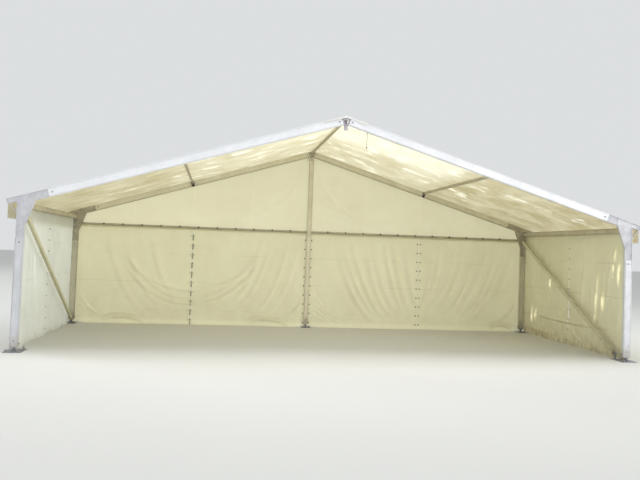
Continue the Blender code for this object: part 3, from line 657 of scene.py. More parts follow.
def knee_points(side):
    nose = SLOPE_LENGTH + NOSE_LENGTH
    under = PROFILE_DEPTH / math.cos(ROOF_PITCH)
    haunch_in = LEG_INNER - HAUNCH_REACH
    return [
        roof_point(side, SLOPE_LENGTH - KNEE_ARM, 0),
        roof_point(side, nose, 0),
        roof_point(side, nose, NOSE_DEPTH),
        (side * HALF_SPAN, roof_top_at(HALF_SPAN) - NOSE_DEPTH / math.cos(ROOF_PITCH)),
        (side * HALF_SPAN, KNEE_FOOT),
        (side * LEG_INNER, KNEE_FOOT),
        (side * LEG_INNER, roof_top_at(LEG_INNER) - under - HAUNCH_DROP),
        (side * haunch_in, roof_top_at(haunch_in) - under),
        roof_point(side, SLOPE_LENGTH - KNEE_ARM, PROFILE_DEPTH),
    ]


def rib_between(first, second, thick, width, y):
    """A straight rib between two points of the frame's plane"""
    a, b = Vector((first[0], y, first[1])), Vector((second[0], y, second[1]))
    run = (b - a).normalized()
    placed = axes_at((a + b) / 2, run, run.cross(Vector((0, 1, 0))))
    return flat_bar(((b - a).length, thick, width), placed, FINE_EDGE)


def knee_inner_face_at(height, points):
    """Distance from the centre line to the haunch's face at a height"""
    (foot_x, foot_z), (top_x, top_z) = points[6], points[7]
    share = min(1.0, max(0.0, (height - foot_z) / (top_z - foot_z)))
    return abs(foot_x) + share * (abs(top_x) - abs(foot_x))


# Lit and shaded copies of one galvanised steel: the front one is painted pale and cool as if lit from
# outside, and the rear one darker and browner as if in the shade inside
LIT_FRONT_STEEL = galvanised_steel(
    "lit_front_fitting_steel", (0.68, 0.68, 0.71), (0.54, 0.54, 0.58), (0.45, 0.38, 0.32), 0.28, 0.52
)
SHADED_REAR_STEEL = galvanised_steel(
    "shaded_rear_fitting_steel", (0.54, 0.50, 0.38), (0.36, 0.33, 0.24), (0.22, 0.15, 0.09), 0.28, 0.55
)
FITTING_FINISH = {FRONT: LIT_FRONT_STEEL, REAR: SHADED_REAR_STEEL}
brace_top_end = {RIGHT: REAR, LEFT: FRONT}

for end, side in CORNERS:
    knee_name = corner_name(end, side, "knee")
    frame_y = end * HALF_BAY
    outline = knee_points(side)
    in_frame = axes_at((0, frame_y, 0), *IN_FRAME)
    knee = [cut_plate(inset_outline(outline, FLANGE * WEB_IN_FLANGE), WEB, in_frame)]
    knee += flanges_round(outline, FLANGE, KNEE_WIDTH, in_frame)
    bead_line = inset_outline(outline, FLANGE + BEAD_OUT)
    knee += [weld_bead([(x, frame_y + s * WEB / 2, z) for x, z in bead_line]) for s in (-1, 1)]
    inner_edge = inset_outline(outline, FLANGE)
    haunch_foot, haunch_top = inner_edge[6], inner_edge[7]
    over_haunch = (haunch_top[0], roof_top_at(haunch_top[0]) - FLANGE)
    ribs = ((haunch_foot, inner_edge[1]), (haunch_foot, inner_edge[3]), (haunch_top, over_haunch))
    knee += [rib_between(a, b, RIB, KNEE_WIDTH - 2 * RIB_INSET, frame_y) for a, b in ribs]
    knee += purlin_shoe(
        (side * LEG_CENTRE, EAVE_PURLIN_HEIGHT), 0, end, KNEE_WIDTH / 2, EAVE_PURLIN_WIDTH, EAVE_PURLIN_DEPTH,
        EAVE_PURLIN_WIDTH / 2 + SHOE_PLATE, EAVE_PURLIN_DEPTH / 2 + SHOE_PLATE + SHOE_MARGIN,
    )
    if end == brace_top_end[side]:
        lug_reach = BRACE_TOP_REACH + LUG_HALF - KNEE_WIDTH / 2
        lug_y = end * (HALF_BAY - KNEE_WIDTH / 2 - lug_reach / 2)
        lug_spot = (side * (BRACE_PLANE - LUG_PLATE / 2), lug_y, BRACE_TOP_HEIGHT)
        knee.append(flat_bar((LUG_PLATE, lug_reach, 2 * LUG_HALF), Matrix.Translation(lug_spot)))
    if end == REAR:
        face = knee_inner_face_at(TRANSOM_HEIGHT, outline)
        pin = (side * (face - TRANSOM_PIN / 2 + TRANSOM_RADIUS / 2), frame_y, TRANSOM_HEIGHT)
        knee.append(turned_bar(PIN_RADIUS, TRANSOM_PIN + TRANSOM_RADIUS, axes_at(pin, *ALONG_SPAN)))
    assemble(knee_name + "_welded", {FITTING_FINISH[end]: knee}, "steel_fittings", knee_name)


# Ridge connectors
# A steel frame joins the rafters at the top: a bar round the joint, two cheeks that lean together, a flat
# face bar, and a stub that a gable upright slides over. The front one carries no upright.

RIDGE_BAR = 0.016
RIDGE_STUB = 0.080
STUB_EDGE = 0.003
CHEEK_PLATE = 0.010
CHEEK_SPREAD = 0.064
CHEEK_INSET = 0.002
CHEEK_BEAD_SHARE = 0.96
CHEEK_BEAD_INSET = 0.003
STUB_SIZE = (0.062, 0.040)
TOP_BAR_SIZE = (0.160, 0.006, 0.036)
TOP_BAR_DOWN = 0.054
UNDER_RIDGE = RIDGE_HALF * math.sin(ROOF_PITCH) + PROFILE_DEPTH * math.cos(ROOF_PITCH)
RIDGE_PURLIN_HEIGHT = roof_top_at(PURLIN_SIZE / 2) - PURLIN_DEPTH / math.cos(ROOF_PITCH) - PURLIN_SIZE / 2
FRONT_RIDGE_STEEL = galvanised_steel(
    "front_ridge_steel", (0.56, 0.53, 0.60), (0.42, 0.39, 0.45), (0.26, 0.18, 0.14), 0.30, 0.5
)
RIDGE_FINISH = {FRONT: FRONT_RIDGE_STEEL, REAR: SHADED_REAR_STEEL}

for end in (FRONT, REAR):
    ridge_name = f"{END_NAMES[end]}_ridge_connector"
    frame_y = end * HALF_BAY
    right_half = [roof_point(RIGHT, RIDGE_HALF, depth) for depth in (0, PROFILE_DEPTH)]
    outline = [(0, RIDGE_HEIGHT), *right_half, *[(-x, z) for x, z in right_half[::-1]]]
    under = RIDGE_HEIGHT - UNDER_RIDGE
    ridge = flanges_round(outline, RIDGE_BAR, KNEE_WIDTH, axes_at((0, frame_y, 0), *IN_FRAME))
    for side in (LEFT, RIGHT):
        head = (side * CHEEK_SPREAD, roof_top_at(CHEEK_SPREAD) - RIDGE_BAR)
        foot = (side * STUB_SIZE[0] / 2, under + RIDGE_BAR)
        ridge.append(rib_between(head, foot, CHEEK_PLATE, KNEE_WIDTH - 2 * CHEEK_INSET, frame_y))
        for s in (-1, 1):
            bead_y = frame_y + s * (KNEE_WIDTH / 2 - CHEEK_BEAD_INSET)
            ridge.append(weld_bead([(x * CHEEK_BEAD_SHARE, bead_y, z) for x, z in (head, foot)], False))
    stub_place = (0, frame_y, under + RIDGE_BAR / 2 - RIDGE_STUB / 2)
    ridge.append(flat_bar((*STUB_SIZE, RIDGE_STUB + RIDGE_BAR), Matrix.Translation(stub_place), STUB_EDGE))
    top_bar_y = end * (HALF_BAY + KNEE_WIDTH / 2 - TOP_BAR_SIZE[1] / 2)
    top_bar_place = (0, top_bar_y, RIDGE_HEIGHT - TOP_BAR_DOWN)
    ridge.append(flat_bar(TOP_BAR_SIZE, Matrix.Translation(top_bar_place), ROUND_EDGE))
    ridge += purlin_shoe(
        (0, RIDGE_PURLIN_HEIGHT), 0, end, KNEE_WIDTH / 2, PURLIN_SIZE, PURLIN_SIZE,
        PURLIN_SIZE / 2 + SHOE_PLATE, RIDGE_PURLIN_HEIGHT - under - RIDGE_BAR / 2,
    )
    assemble(ridge_name + "_welded", {RIDGE_FINISH[end]: ridge}, "steel_fittings", ridge_name)


# Feet
# Each leg and the gable upright stands on a steel base plate with a stem, a collar and two gussets. Two
# stakes are driven through it, so only their battered heads show. Mud and rust cover most of the steel.

PLATE_THICK = 0.010
PLATE_EDGE = 0.0025
PLATE_OUTER_REACH = 0.15
LEG_PLATE_INNER_REACH = 0.31
LEG_PLATE_WIDTH = 0.26
UPRIGHT_PLATE_WIDTH = 0.20
STEM_WIDTH = 0.040
STEM_INTO_COLLAR = 0.010
SPIGOT_CLEARANCE = 0.001
COLLAR = 0.008
COLLAR_WIDER = 0.004
FOOT_HEIGHT = 0.070
STAKE_RADIUS = 0.0125
STAKE_HEAD_RADIUS = 0.020
STAKE_HEAD_HEIGHT = 0.014
STAKE_HEAD_SIDES = 24
STAKE_HEAD_ROUND = 0.0045
STAKE_HEAD_DENTS = 0.0008
STAKE_INTO_HEAD = 0.004
STAKE_STAND = 0.034
STAKE_EDGE = 0.040
BRACE_FOOT_HEIGHT = 0.085
BRACE_FOOT_REACH = 0.262
GUSSET_RISE = 0.040
GUSSET_REACH = 0.060
GUSSET_PLATE = 0.006
WELD_IN = 0.002
FOOT_STEEL = galvanised_steel(
    "foot_steel", (0.30, 0.31, 0.35), (0.13, 0.13, 0.14), (0.20, 0.11, 0.06), 0.30, 0.58
)
STAKE_STEEL = galvanised_steel(
    "stake_steel", (0.34, 0.33, 0.33), (0.19, 0.17, 0.15), (0.28, 0.15, 0.07), 0.45, 0.45
)
hammer = random.Random(5)


def battered_stake(x, y):
    """Shank and mushroomed head of one stake"""
    shank_height = STAKE_STAND - STAKE_HEAD_HEIGHT
    shank_place = Matrix.Translation((x, y, PLATE_THICK + shank_height / 2))
    head_place = Matrix.Translation((x, y, PLATE_THICK + STAKE_STAND - STAKE_HEAD_HEIGHT / 2))
    shank = turned_bar(STAKE_RADIUS, shank_height + STAKE_INTO_HEAD, shank_place)
    head = turned_bar(STAKE_HEAD_RADIUS, STAKE_HEAD_HEIGHT, head_place, STAKE_HEAD_SIDES, STAKE_HEAD_ROUND)
    for vertex in head.vertices:
        vertex.co.x += hammer.uniform(-STAKE_HEAD_DENTS, STAKE_HEAD_DENTS)
        vertex.co.y += hammer.uniform(-STAKE_HEAD_DENTS, STAKE_HEAD_DENTS)
    return [shank, head]


def build_foot(name, x, end, plate_width, inner_reach, profile_width, spigot_depth, lug_side):
    """One base plate with what is welded to it and its stakes. The spigot fits inside the profile above"""
    y = end * HALF_BAY
    spigot_width = profile_width - 2 * PROFILE_WALL - SPIGOT_CLEARANCE
    plate_length = PLATE_OUTER_REACH + inner_reach
    plate_y = y + end * (PLATE_OUTER_REACH - inner_reach) / 2
    stem_height = FOOT_HEIGHT - PLATE_THICK
    steel = [
        flat_bar(size, Matrix.Translation((x, *place)), edge) for size, place, edge in (
            ((plate_width, plate_length, PLATE_THICK), (plate_y, PLATE_THICK / 2), PLATE_EDGE),
            ((STEM_WIDTH, spigot_width, stem_height + 2 * STEM_INTO_COLLAR),
             (y, PLATE_THICK + stem_height / 2), ROUND_EDGE),
            ((spigot_depth, spigot_width + COLLAR_WIDER, COLLAR), (y, FOOT_HEIGHT - COLLAR / 2), SOFT_EDGE),
        )
    ]
    gusset = [
        (0, 0), (GUSSET_REACH, 0), (GUSSET_REACH, GUSSET_PLATE), (GUSSET_PLATE, GUSSET_RISE),
        (0, GUSSET_RISE),
    ]
    for away in (-1, 1):
        spot = (x, y + away * spigot_width / 2, PLATE_THICK)
        steel.append(cut_plate(gusset, GUSSET_PLATE, axes_at(spot, (0, away, 0), (0, 0, 1)), FINE_EDGE))
    round_stem = ((-1, -1), (1, -1), (1, 1), (-1, 1))
    stem_foot = [(x + a * STEM_WIDTH / 2, y + b * spigot_width / 2, PLATE_THICK) for a, b in round_stem]
    steel.append(weld_bead(stem_foot))
    stakes = []
    for sign in (LEFT, RIGHT):
        stake_y = plate_y - sign * end * (plate_length / 2 - STAKE_EDGE)
        stakes += battered_stake(x + sign * (plate_width / 2 - STAKE_EDGE), stake_y)
    if lug_side:
        lug_top = BRACE_FOOT_HEIGHT + LUG_HALF
        lug_x = lug_side * (BRACE_PLANE - LUG_PLATE / 2)
        spot = (lug_x, end * (HALF_BAY - BRACE_FOOT_REACH), (lug_top + PLATE_THICK) / 2)
        lug_size = (LUG_PLATE, 2 * LUG_HALF, lug_top - PLATE_THICK + WELD_IN)
        steel.append(flat_bar(lug_size, Matrix.Translation(spot)))
    assemble(name + "_welded", {FOOT_STEEL: steel, STAKE_STEEL: stakes}, "base_steel", name)


for end, side in CORNERS:
    build_foot(
        corner_name(end, side, "base_plate"), side * LEG_CENTRE, end, LEG_PLATE_WIDTH, LEG_PLATE_INNER_REACH,
        PROFILE_WIDTH, 2 * HOLLOW_HALF, side if end != brace_top_end[side] else 0,
    )
UPRIGHT_DEPTH = 0.100
UPRIGHT_WIDTH = 0.050
UPRIGHT_HOLLOW = UPRIGHT_DEPTH / 2 - CHANNEL_INSET - CHANNEL_LIP - PROFILE_WALL
build_foot(
    "rear_upright_base_plate", 0, REAR, UPRIGHT_PLATE_WIDTH, PLATE_OUTER_REACH, UPRIGHT_WIDTH,
    2 * UPRIGHT_HOLLOW, 0,
)


# Purlins
# Five aluminium tubes with rounded corners lie in the shoes and join the two frames: three square ones
# under the roof, and a deeper one along each eave. They are coloured dull and brownish.

TUBE_CORNER = 0.005
INNER_CORNER_SHARE = 0.8
TUBE_WALL = 0.003
TUBE_ALUMINIUM = mill_aluminium(
    "tube_aluminium_dull", (0.62, 0.58, 0.45), (0.46, 0.42, 0.32), (0.26, 0.22, 0.15), 0.12, 0.25, 0.45
)


def rounded_rectangle(half_x, half_y, corner):
    loop = []
    for centre_x, centre_y, start in ((1, 1, 0), (-1, 1, 90), (-1, -1, 180), (1, -1, 270)):
        centre = (centre_x * (half_x - corner), centre_y * (half_y - corner))
        loop += arc(centre, corner, start, start + 90, 4)
    return loop


def tube_section(width, height):
    """Outer and inner outline of a rectangular tube with rounded corners"""
    inner_corner = TUBE_CORNER - TUBE_WALL * INNER_CORNER_SHARE
    return [
        rounded_rectangle(width / 2, height / 2, TUBE_CORNER),
        rounded_rectangle(width / 2 - TUBE_WALL, height / 2 - TUBE_WALL, inner_corner),
    ]


def lay_purlin(name, place, turn, width=PURLIN_SIZE, depth=PURLIN_SIZE):
    low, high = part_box(name)
    lean = Matrix.Rotation(turn, 3, "Y")
    matrix = axes_at((place[0], 0, place[1]), lean @ Vector((1, 0, 0)), lean @ Vector((0, 0, 1)))
    tube = drawn_length(tube_section(width, depth), high.y - low.y, matrix)
    assemble(name + "_tube", {TUBE_ALUMINIUM: [tube]}, "tube_aluminium", name)


lay_purlin("ridge_purlin", (0, RIDGE_PURLIN_HEIGHT), 0)
for side in (LEFT, RIGHT):
    middle_place = roof_point(side, MIDDLE_PURLIN_ALONG, PURLIN_DEPTH + PURLIN_SIZE / 2)
    eave_place = (side * LEG_CENTRE, EAVE_PURLIN_HEIGHT)
    lay_purlin(f"{SIDE_NAMES[side]}_middle_purlin", middle_place, side * ROOF_PITCH)
    lay_purlin(f"{SIDE_NAMES[side]}_eave_purlin", eave_place, 0, EAVE_PURLIN_WIDTH, EAVE_PURLIN_DEPTH)


# Gable upright and transoms of the rear frame
# The upright is a smaller extrusion under the ridge. A round tube runs from each side of it to the knees,
# slid over pins at both ends, and the rear wall hangs from these two tubes.

UPRIGHT_GROOVE_HALF = 0.008
UPRIGHT_SECTION = profile_section(UPRIGHT_DEPTH, UPRIGHT_WIDTH, UPRIGHT_GROOVE_HALF, UPRIGHT_HOLLOW)
TRANSOM_WALL = 0.003
TRANSOM_SIDES = 28
UPRIGHT_ALUMINIUM = mill_aluminium(
    "upright_aluminium", (0.83, 0.78, 0.61), (0.63, 0.58, 0.44), (0.30, 0.27, 0.19), 0.30, 0.22, 0.25
)
TRANSOM_ALUMINIUM = mill_aluminium(
    "transom_aluminium", (0.50, 0.47, 0.36), (0.36, 0.33, 0.24), (0.24, 0.21, 0.15), 0.10, 0.25, 0.0
)

upright_low, upright_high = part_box("rear_gable_upright")
upright_axes = axes_at((0, HALF_BAY, (upright_low.z + upright_high.z) / 2), *UPRIGHT_AXES)
upright = drawn_length(UPRIGHT_SECTION, upright_high.z - upright_low.z, upright_axes)
pins = []
for side in (LEFT, RIGHT):
    pin = (side * (UPRIGHT_DEPTH / 2 + TRANSOM_PIN / 2 - WELD_IN), HALF_BAY, TRANSOM_HEIGHT)
    pins.append(turned_bar(PIN_RADIUS, TRANSOM_PIN, axes_at(pin, *ALONG_SPAN)))
upright_parts = {UPRIGHT_ALUMINIUM: [upright], SHADED_REAR_STEEL: pins}
assemble("rear_gable_upright_profile", upright_parts, "tube_aluminium", "rear_gable_upright")

for side in (LEFT, RIGHT):
    transom_name = f"rear_{SIDE_NAMES[side]}_transom"
    low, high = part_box(transom_name)
    transom_axes = axes_at(((low.x + high.x) / 2, HALF_BAY, TRANSOM_HEIGHT), *ALONG_SPAN)
    rings = [ring_of(radius, TRANSOM_SIDES) for radius in (TRANSOM_RADIUS, TRANSOM_RADIUS - TRANSOM_WALL)]
    transom = drawn_length(rings, high.x - low.x, transom_axes)
    assemble(transom_name + "_tube", {TRANSOM_ALUMINIUM: [transom]}, "tube_aluminium", transom_name)


# Side braces
# A rectangular tube runs slantwise in each side wall. Its flattened ends are bolted beside lugs on a knee
# and on the foot opposite: the right one drops from the rear knee to the front foot, the left one the
# other way.

BRACE_HEIGHT = 0.080
BRACE_WIDTH = 0.040
BRACE_END = 0.095
TONGUE_WIDTH = 0.072
NECK_LENGTH = 0.020
NECK_BACK = 0.012
NECK_NARROWER = 0.004
NECK_ROUND = 0.004
BRACE_ALUMINIUM = mill_aluminium(
    "brace_aluminium", (0.76, 0.73, 0.53), (0.60, 0.57, 0.41), (0.24, 0.22, 0.13), 0.35, 0.22, 0.55
)
brace_bolts = []

for side in (LEFT, RIGHT):
    brace_name = f"{SIDE_NAMES[side]}_wall_brace"
    high_end = brace_top_end[side]
    top = Vector((0, high_end * (HALF_BAY - BRACE_TOP_REACH), BRACE_TOP_HEIGHT))
    foot = Vector((0, -high_end * (HALF_BAY - BRACE_FOOT_REACH), BRACE_FOOT_HEIGHT))
    run = (top - foot).normalized()
    across = run.cross(Vector((1, 0, 0)))
    in_plane = Vector((side * BRACE_PLANE, 0, 0))
    brace_axes = axes_at(in_plane + (top + foot) / 2, (1, 0, 0), across)
    tube_length = (top - foot).length - 2 * BRACE_END
    brace = [drawn_length(tube_section(BRACE_WIDTH, BRACE_HEIGHT), tube_length, brace_axes)]
    tongue_length = BRACE_END + LUG_HALF / 2
    tongue_out = Vector((side * LUG_PLATE / 2, 0, 0))
    for place, sign in ((top, 1), (foot, -1)):
        tongue_spot = in_plane + tongue_out + place + sign * run * (LUG_HALF / 2 - tongue_length / 2)
        tongue_size = (TONGUE_WIDTH, tongue_length, LUG_PLATE)
        brace.append(flat_bar(tongue_size, axes_at(tongue_spot, across, run), ROUND_EDGE))
        neck_spot = in_plane + place - sign * run * (BRACE_END - NECK_BACK)
        neck_size = (BRACE_WIDTH - NECK_NARROWER, BRACE_HEIGHT - NECK_NARROWER, NECK_LENGTH)
        brace.append(flat_bar(neck_size, axes_at(neck_spot, (1, 0, 0), across), NECK_ROUND))
        brace_bolts.append(in_plane + place)
    assemble(brace_name + "_tube", {BRACE_ALUMINIUM: brace}, "tube_aluminium", brace_name)


# Roof sheet
# One continuous sheet of coated cloth over both slopes. Beads along its front and rear edges run in the
# rafters' channels, so it is pulled straight there. Between the purlins it sags a little. Painted leaf shade
# lies on it in patches, heavier down the slopes and towards the rear, with painted sun patches in it.

SHEET_EDGE = HALF_BAY - PROFILE_WIDTH / 2 + 0.006
CLOTH = 0.0013
HEM_CLOTH = 0.0025
HEM = 0.040
HEM_STEP = 0.003
RIDGE_ROUND = 0.010
ROOF_SAG = 0.016
ROOF_WRINKLE = 0.0055
ROOF_SOIL = 0.20
BEAD_IN_CHANNEL = 0.0038
BEAD_ROUND = 0.0008
BEAD_SIDES = 8
BEAD_SHORT = 0.003
LATTICE = 97
LATTICE_START = 40.0
STORED_FOLD = 0.6
HEM_HIGHLIGHT_TINT = 1.07
SEAM_TINT = 1.06
SEAM_HALF = 0.020
# Share of the light let through where the painted leaf shade lies
LEAF_SHADE_SHARE = (0.66, 0.62, 0.48)
CLOUDED_SHARE = (0.95, 0.94, 0.92)


def cloud(across, along, across_size, along_size, seed):
    """Smooth lumps between -1 and 1 over a sheet, of about these sizes in metres"""
    lattice = np.random.default_rng(seed).uniform(-1, 1, (LATTICE, LATTICE))
    a, b = across / across_size + LATTICE_START, along / along_size + LATTICE_START
    i, j = np.floor(a).astype(int), np.floor(b).astype(int)
    s, t = a - i, b - j
    s, t = s * s * (3 - 2 * s), t * t * (3 - 2 * t)

    def at(p, q):
        return lattice[p % LATTICE, q % LATTICE]

    low = at(i, j) * (1 - s) + at(i + 1, j) * s
    high = at(i, j + 1) * (1 - s) + at(i + 1, j + 1) * s
    return low * (1 - t) + high * t


def clouds(across, along, *layers):
    """Several clouds together, each (height, size across, size along, seed)"""
    return sum(height * cloud(across, along, *sizes) for height, *sizes in layers)


def eased(value, low, high):
    """0 below low and 1 above high, with a smooth step between"""
    share = np.clip((value - low) / (high - low), 0, 1)
    return share * share * (3 - 2 * share)


def hemmed_spacing(length, step):
    """Grid lines over a length, closer together at the hems of both ends"""
    inner = np.linspace(HEM + HEM_STEP, length - HEM - HEM_STEP, max(2, round((length - 2 * HEM) / step)))
    return np.concatenate(([0, HEM / 2, HEM], inner, [length - HEM, length - HEM / 2, length]))


def hemmed(to_edge):
    """Thickness of the cloth at this distance from its edge"""
    return CLOTH + (HEM_CLOTH - CLOTH) * np.where(to_edge <= HEM + HEM_STEP / 4, 1.0, 0.0)


def closed_sheet(middle, outward, thickness, flat_u, flat_v, marks):
    """A closed shell round a grid of points, its flat size in metres as UV, with marks kept on its points"""
    rows, columns = middle.shape[:2]
    outward = np.broadcast_to(np.array(outward, float), middle.shape)
    faces = [middle + outward * (sign * thickness[..., None] / 2) for sign in (1, -1)]
    points = np.concatenate([f.reshape(-1, 3) for f in faces])
    index = np.arange(rows * columns).reshape(rows, columns)
    outer = np.stack([index[:-1, :-1], index[1:, :-1], index[1:, 1:], index[:-1, 1:]], -1).reshape(-1, 4)
    inner = outer[:, ::-1] + rows * columns
    rim = np.concatenate([index[0, :], index[1:, -1], index[-1, -2::-1], index[-2:0:-1, 0]])
    after = np.roll(rim, -1)
    sides = np.stack([rim, after, after + rows * columns, rim + rows * columns], -1)
    quads = np.concatenate([outer, inner, sides])
    mesh = bpy.data.meshes.new("closed_sheet")
    mesh.from_pydata(points.tolist(), [], quads.tolist())
    places = np.stack([np.tile(flat_u.reshape(-1), 2), np.tile(flat_v.reshape(-1), 2)], -1)
    uv = mesh.uv_layers.new(name="UVMap")
    uv.data.foreach_set("uv", places[quads.reshape(-1)].astype(np.float32).reshape(-1))
    for key, values in marks.items():
        layer = mesh.attributes.new(key, "FLOAT", "POINT")
        layer.data.foreach_set("value", np.tile(values.reshape(-1), 2).astype(np.float32))
    shape = bmesh.new()
    shape.from_mesh(mesh)
    bmesh.ops.recalc_face_normals(shape, faces=shape.faces)
    shape.to_mesh(mesh)
    shape.free()
    return mesh


def fold_line(tree, distance, pitch, start, half_width):
    """1 along lines that repeat every pitch, and 0 away from them"""
    moved = tree.maths("ABSOLUTE", tree.maths("SUBTRACT", distance, start), 0.0)
    return tree.spread(tree.maths("PINGPONG", moved, pitch / 2), half_width, half_width * 0.15)


def paint_leaf_shade(tree, flat, tone):
    """The tone of the roof under painted leaf shade, and the painted sun patches in it"""
    leaf_shade = tree.mark("leaf_shade")
    mottled = tree.spread(tree.noise(flat, 1.7, 5.0, 0.62), 0.30, 0.60, 0.35, 1.0)
    sun_patches = tree.spread(tree.noise(flat, 2.3, 3.0, 0.55), 0.545, 0.625)
    in_groups = tree.spread(tree.noise(flat, 1.0, 2.0), 0.53, 0.60)
    upper = tree.spread(leaf_shade, 0.50, 0.66, 1.0, 0.0)
    tone = tree.plus(tree.times(tone, 0.25), tree.times(leaf_shade, mottled))
    return tone, tree.times(sun_patches, tree.maths("MAXIMUM", upper, in_groups))


def coated_cloth(name, pale, dull, soiled, through, share_through, first_fold, seam_pitch=0,
                 crumpled=0.40, creased=0.42, leaf_dappled=False, glinting_creases=False):
    """Coated polyester: a weave under a soft shine, clouded colour, folds from storage and a soiled foot,
    with a painted highlight on marked hems and, where asked, painted leaf shade with sun patches, and painted
    glints along marked sharp creases
    """
    finish, tree, surface = empty_finish(name)
    coordinates = tree.add("ShaderNodeTexCoord")
    place, flat = coordinates.outputs["Object"], coordinates.outputs["UV"]
    flat_parts = tree.add("ShaderNodeSeparateXYZ", {"Vector": flat})
    across, along = flat_parts.outputs["X"], flat_parts.outputs["Y"]
    patches = tree.noise(place, 4.5, 5.0, 0.6)
    crumple = tree.noise(place, 11.0, 3.0, 0.5)
    specks = tree.noise(place, 75.0, 4.0, 0.65)
    broad = tree.spread(tree.noise(place, 0.8, 3.0), 0.34, 0.66, 0.0, 0.55)
    tone = tree.plus(broad, tree.spread(patches, 0.36, 0.68, 0.0, 0.45))
    # painted leaf shade and sun patches in the colour and in the light let through
    if leaf_dappled:
        tone, sun_patches = paint_leaf_shade(tree, flat, tone)
        colour = tree.blend(sun_patches, tree.blend(tone, pale, dull), pale)
    else:
        colour = tree.blend(tone, pale, dull)
    # painted highlight: the marked hem band is made paler, as where it catches light from above
    colour = tree.blend(tree.times(tree.mark("hem_highlight"), 0.8), colour, tinted(pale, HEM_HIGHLIGHT_TINT))
    wander = tree.times(tree.maths("SUBTRACT", tree.noise(place, 2.6, 2.0), 0.5), 0.02)
    level_folds = fold_line(tree, tree.plus(along, wander), STORED_FOLD, first_fold, 0.010)
    upright_folds = fold_line(tree, tree.plus(across, wander), STORED_FOLD, STORED_FOLD / 2, 0.006)
    worn_in = tree.spread(tree.noise(place, 1.6, 2.0), 0.44, 0.58)
    folds = tree.times(tree.maths("MAXIMUM", level_folds, tree.times(upright_folds, 0.35)), worn_in)
    colour = tree.blend(tree.times(folds, creased), colour, soiled)
    if seam_pitch:
        seam = tree.spread(fold_line(tree, across, seam_pitch, 0.0, SEAM_HALF), 0.25, 0.30)
        colour = tree.blend(tree.times(seam, 0.7), colour, tinted(pale, SEAM_TINT))
    spots = tree.times(tree.spread(specks, 0.66, 0.78), tree.spread(patches, 0.48, 0.62, 0.0, 0.5))
    colour = tree.blend(spots, colour, soiled)
    ragged_dirt = tree.spread(tree.noise(place, 8.0, 6.0, 0.65), 0.32, 0.62, 0.25, 1.0)
    dirty = tree.times(tree.mark("soil"), ragged_dirt)
    colour = tree.blend(dirty, colour, soiled)
    rough = tree.plus(tree.spread(patches, 0.3, 0.7, 0.36, 0.52), tree.times(dirty, 0.3))
    threads = [
        tree.add(
            "ShaderNodeTexWave", {"Vector": flat, "Scale": 210.0}, wave_type="BANDS",
            bands_direction=direction,
        ).outputs["Fac"] for direction in ("X", "Y")
    ]
    coarse = tree.plus(tree.times(crumple, 0.7), tree.times(folds, -0.8))
    dents = tree.add("ShaderNodeBump", {"Height": coarse, "Strength": crumpled, "Distance": 0.006}).outputs[0]
    weave = {"Height": tree.plus(*threads), "Strength": 0.25, "Distance": 0.0002, "Normal": dents}
    woven = tree.add("ShaderNodeBump", weave).outputs[0]
    coated = {"Base Color": colour, "Roughness": rough, "Normal": woven}
    coating = tree.add("ShaderNodeBsdfPrincipled", coated)
    least_through = tuple(c * s for c, s in zip(through, LEAF_SHADE_SHARE if leaf_dappled else CLOUDED_SHARE))
    let_through = tree.blend(tone, through, least_through)
    if leaf_dappled:
        let_through = tree.blend(sun_patches, let_through, through)
    glow = tree.add("ShaderNodeBsdfTranslucent", {"Color": let_through, "Normal": dents})
    # painted glints: more light goes through along the marked sharp creases
    if glinting_creases:
        ragged = tree.spread(tree.noise(place, 8.0, 3.0, 0.6), 0.38, 0.52)
        glint_through = tree.times(tree.times(tree.mark("wear_and_glint"), ragged), 0.95 - share_through)
        share_through = tree.plus(glint_through, share_through)
    shares = {0: share_through, 1: coating.outputs[0], 2: glow.outputs[0]}
    tree.feed(surface, tree.add("ShaderNodeMixShader", shares).outputs[0])
    return finish


# The dull colour stands for the painted leaf shade, and the pale one for sunlit cloth
ROOF_CLOTH = coated_cloth(
    "roof_coated_cloth", (0.94, 0.94, 0.90), (0.61, 0.58, 0.46), (0.42, 0.36, 0.24), (1.0, 0.985, 0.90), 0.68,
    0.3, crumpled=0.30, leaf_dappled=True,
)

roof_reach = SLOPE_LENGTH + ROOF_OVERHANG
half_steps = np.concatenate((
    [RIDGE_ROUND, 2 * RIDGE_ROUND, 4 * RIDGE_ROUND], np.linspace(0.1, roof_reach - HEM - HEM_STEP, 88),
    [roof_reach - HEM, roof_reach - HEM / 2, roof_reach],
))
slope_lines = np.concatenate((-half_steps[::-1], [0.0], half_steps))
bay_lines = hemmed_spacing(2 * SHEET_EDGE, 0.025) - SHEET_EDGE
slope_at, bay_at = np.meshgrid(slope_lines, bay_lines, indexing="ij")
down_slope = np.abs(slope_at)
half_slope = MIDDLE_PURLIN_ALONG
purlin_away = np.minimum(down_slope, np.abs(down_slope - half_slope))
purlin_away = np.minimum(purlin_away, np.abs(down_slope - LEG_CENTRE / math.cos(ROOF_PITCH)))
free = eased(purlin_away, 0.03, 0.30)
off_rafter = eased(SHEET_EDGE - np.abs(bay_at), 0.03, 0.45)
past_purlin = (down_slope - half_slope) / (roof_reach - half_slope)
span_share = np.where(down_slope < half_slope, down_slope / half_slope, past_purlin)
sag = ROOF_SAG * np.sin(np.pi * np.clip(span_share, 0, 1)) * (1 - (bay_at / SHEET_EDGE) ** 2)
wrinkles = clouds(slope_at, bay_at, (ROOF_WRINKLE, 1.1, 0.17, 3), (0.4 * ROOF_WRINKLE, 0.5, 0.07, 4))
wrinkles += 0.8 * ROOF_WRINKLE * cloud(slope_at + 0.35 * bay_at, bay_at, 0.9, 0.24, 5)
lift = (wrinkles * (0.25 + 0.75 * free) + 0.6 * ROOF_WRINKLE * (1 - free)) * off_rafter - sag
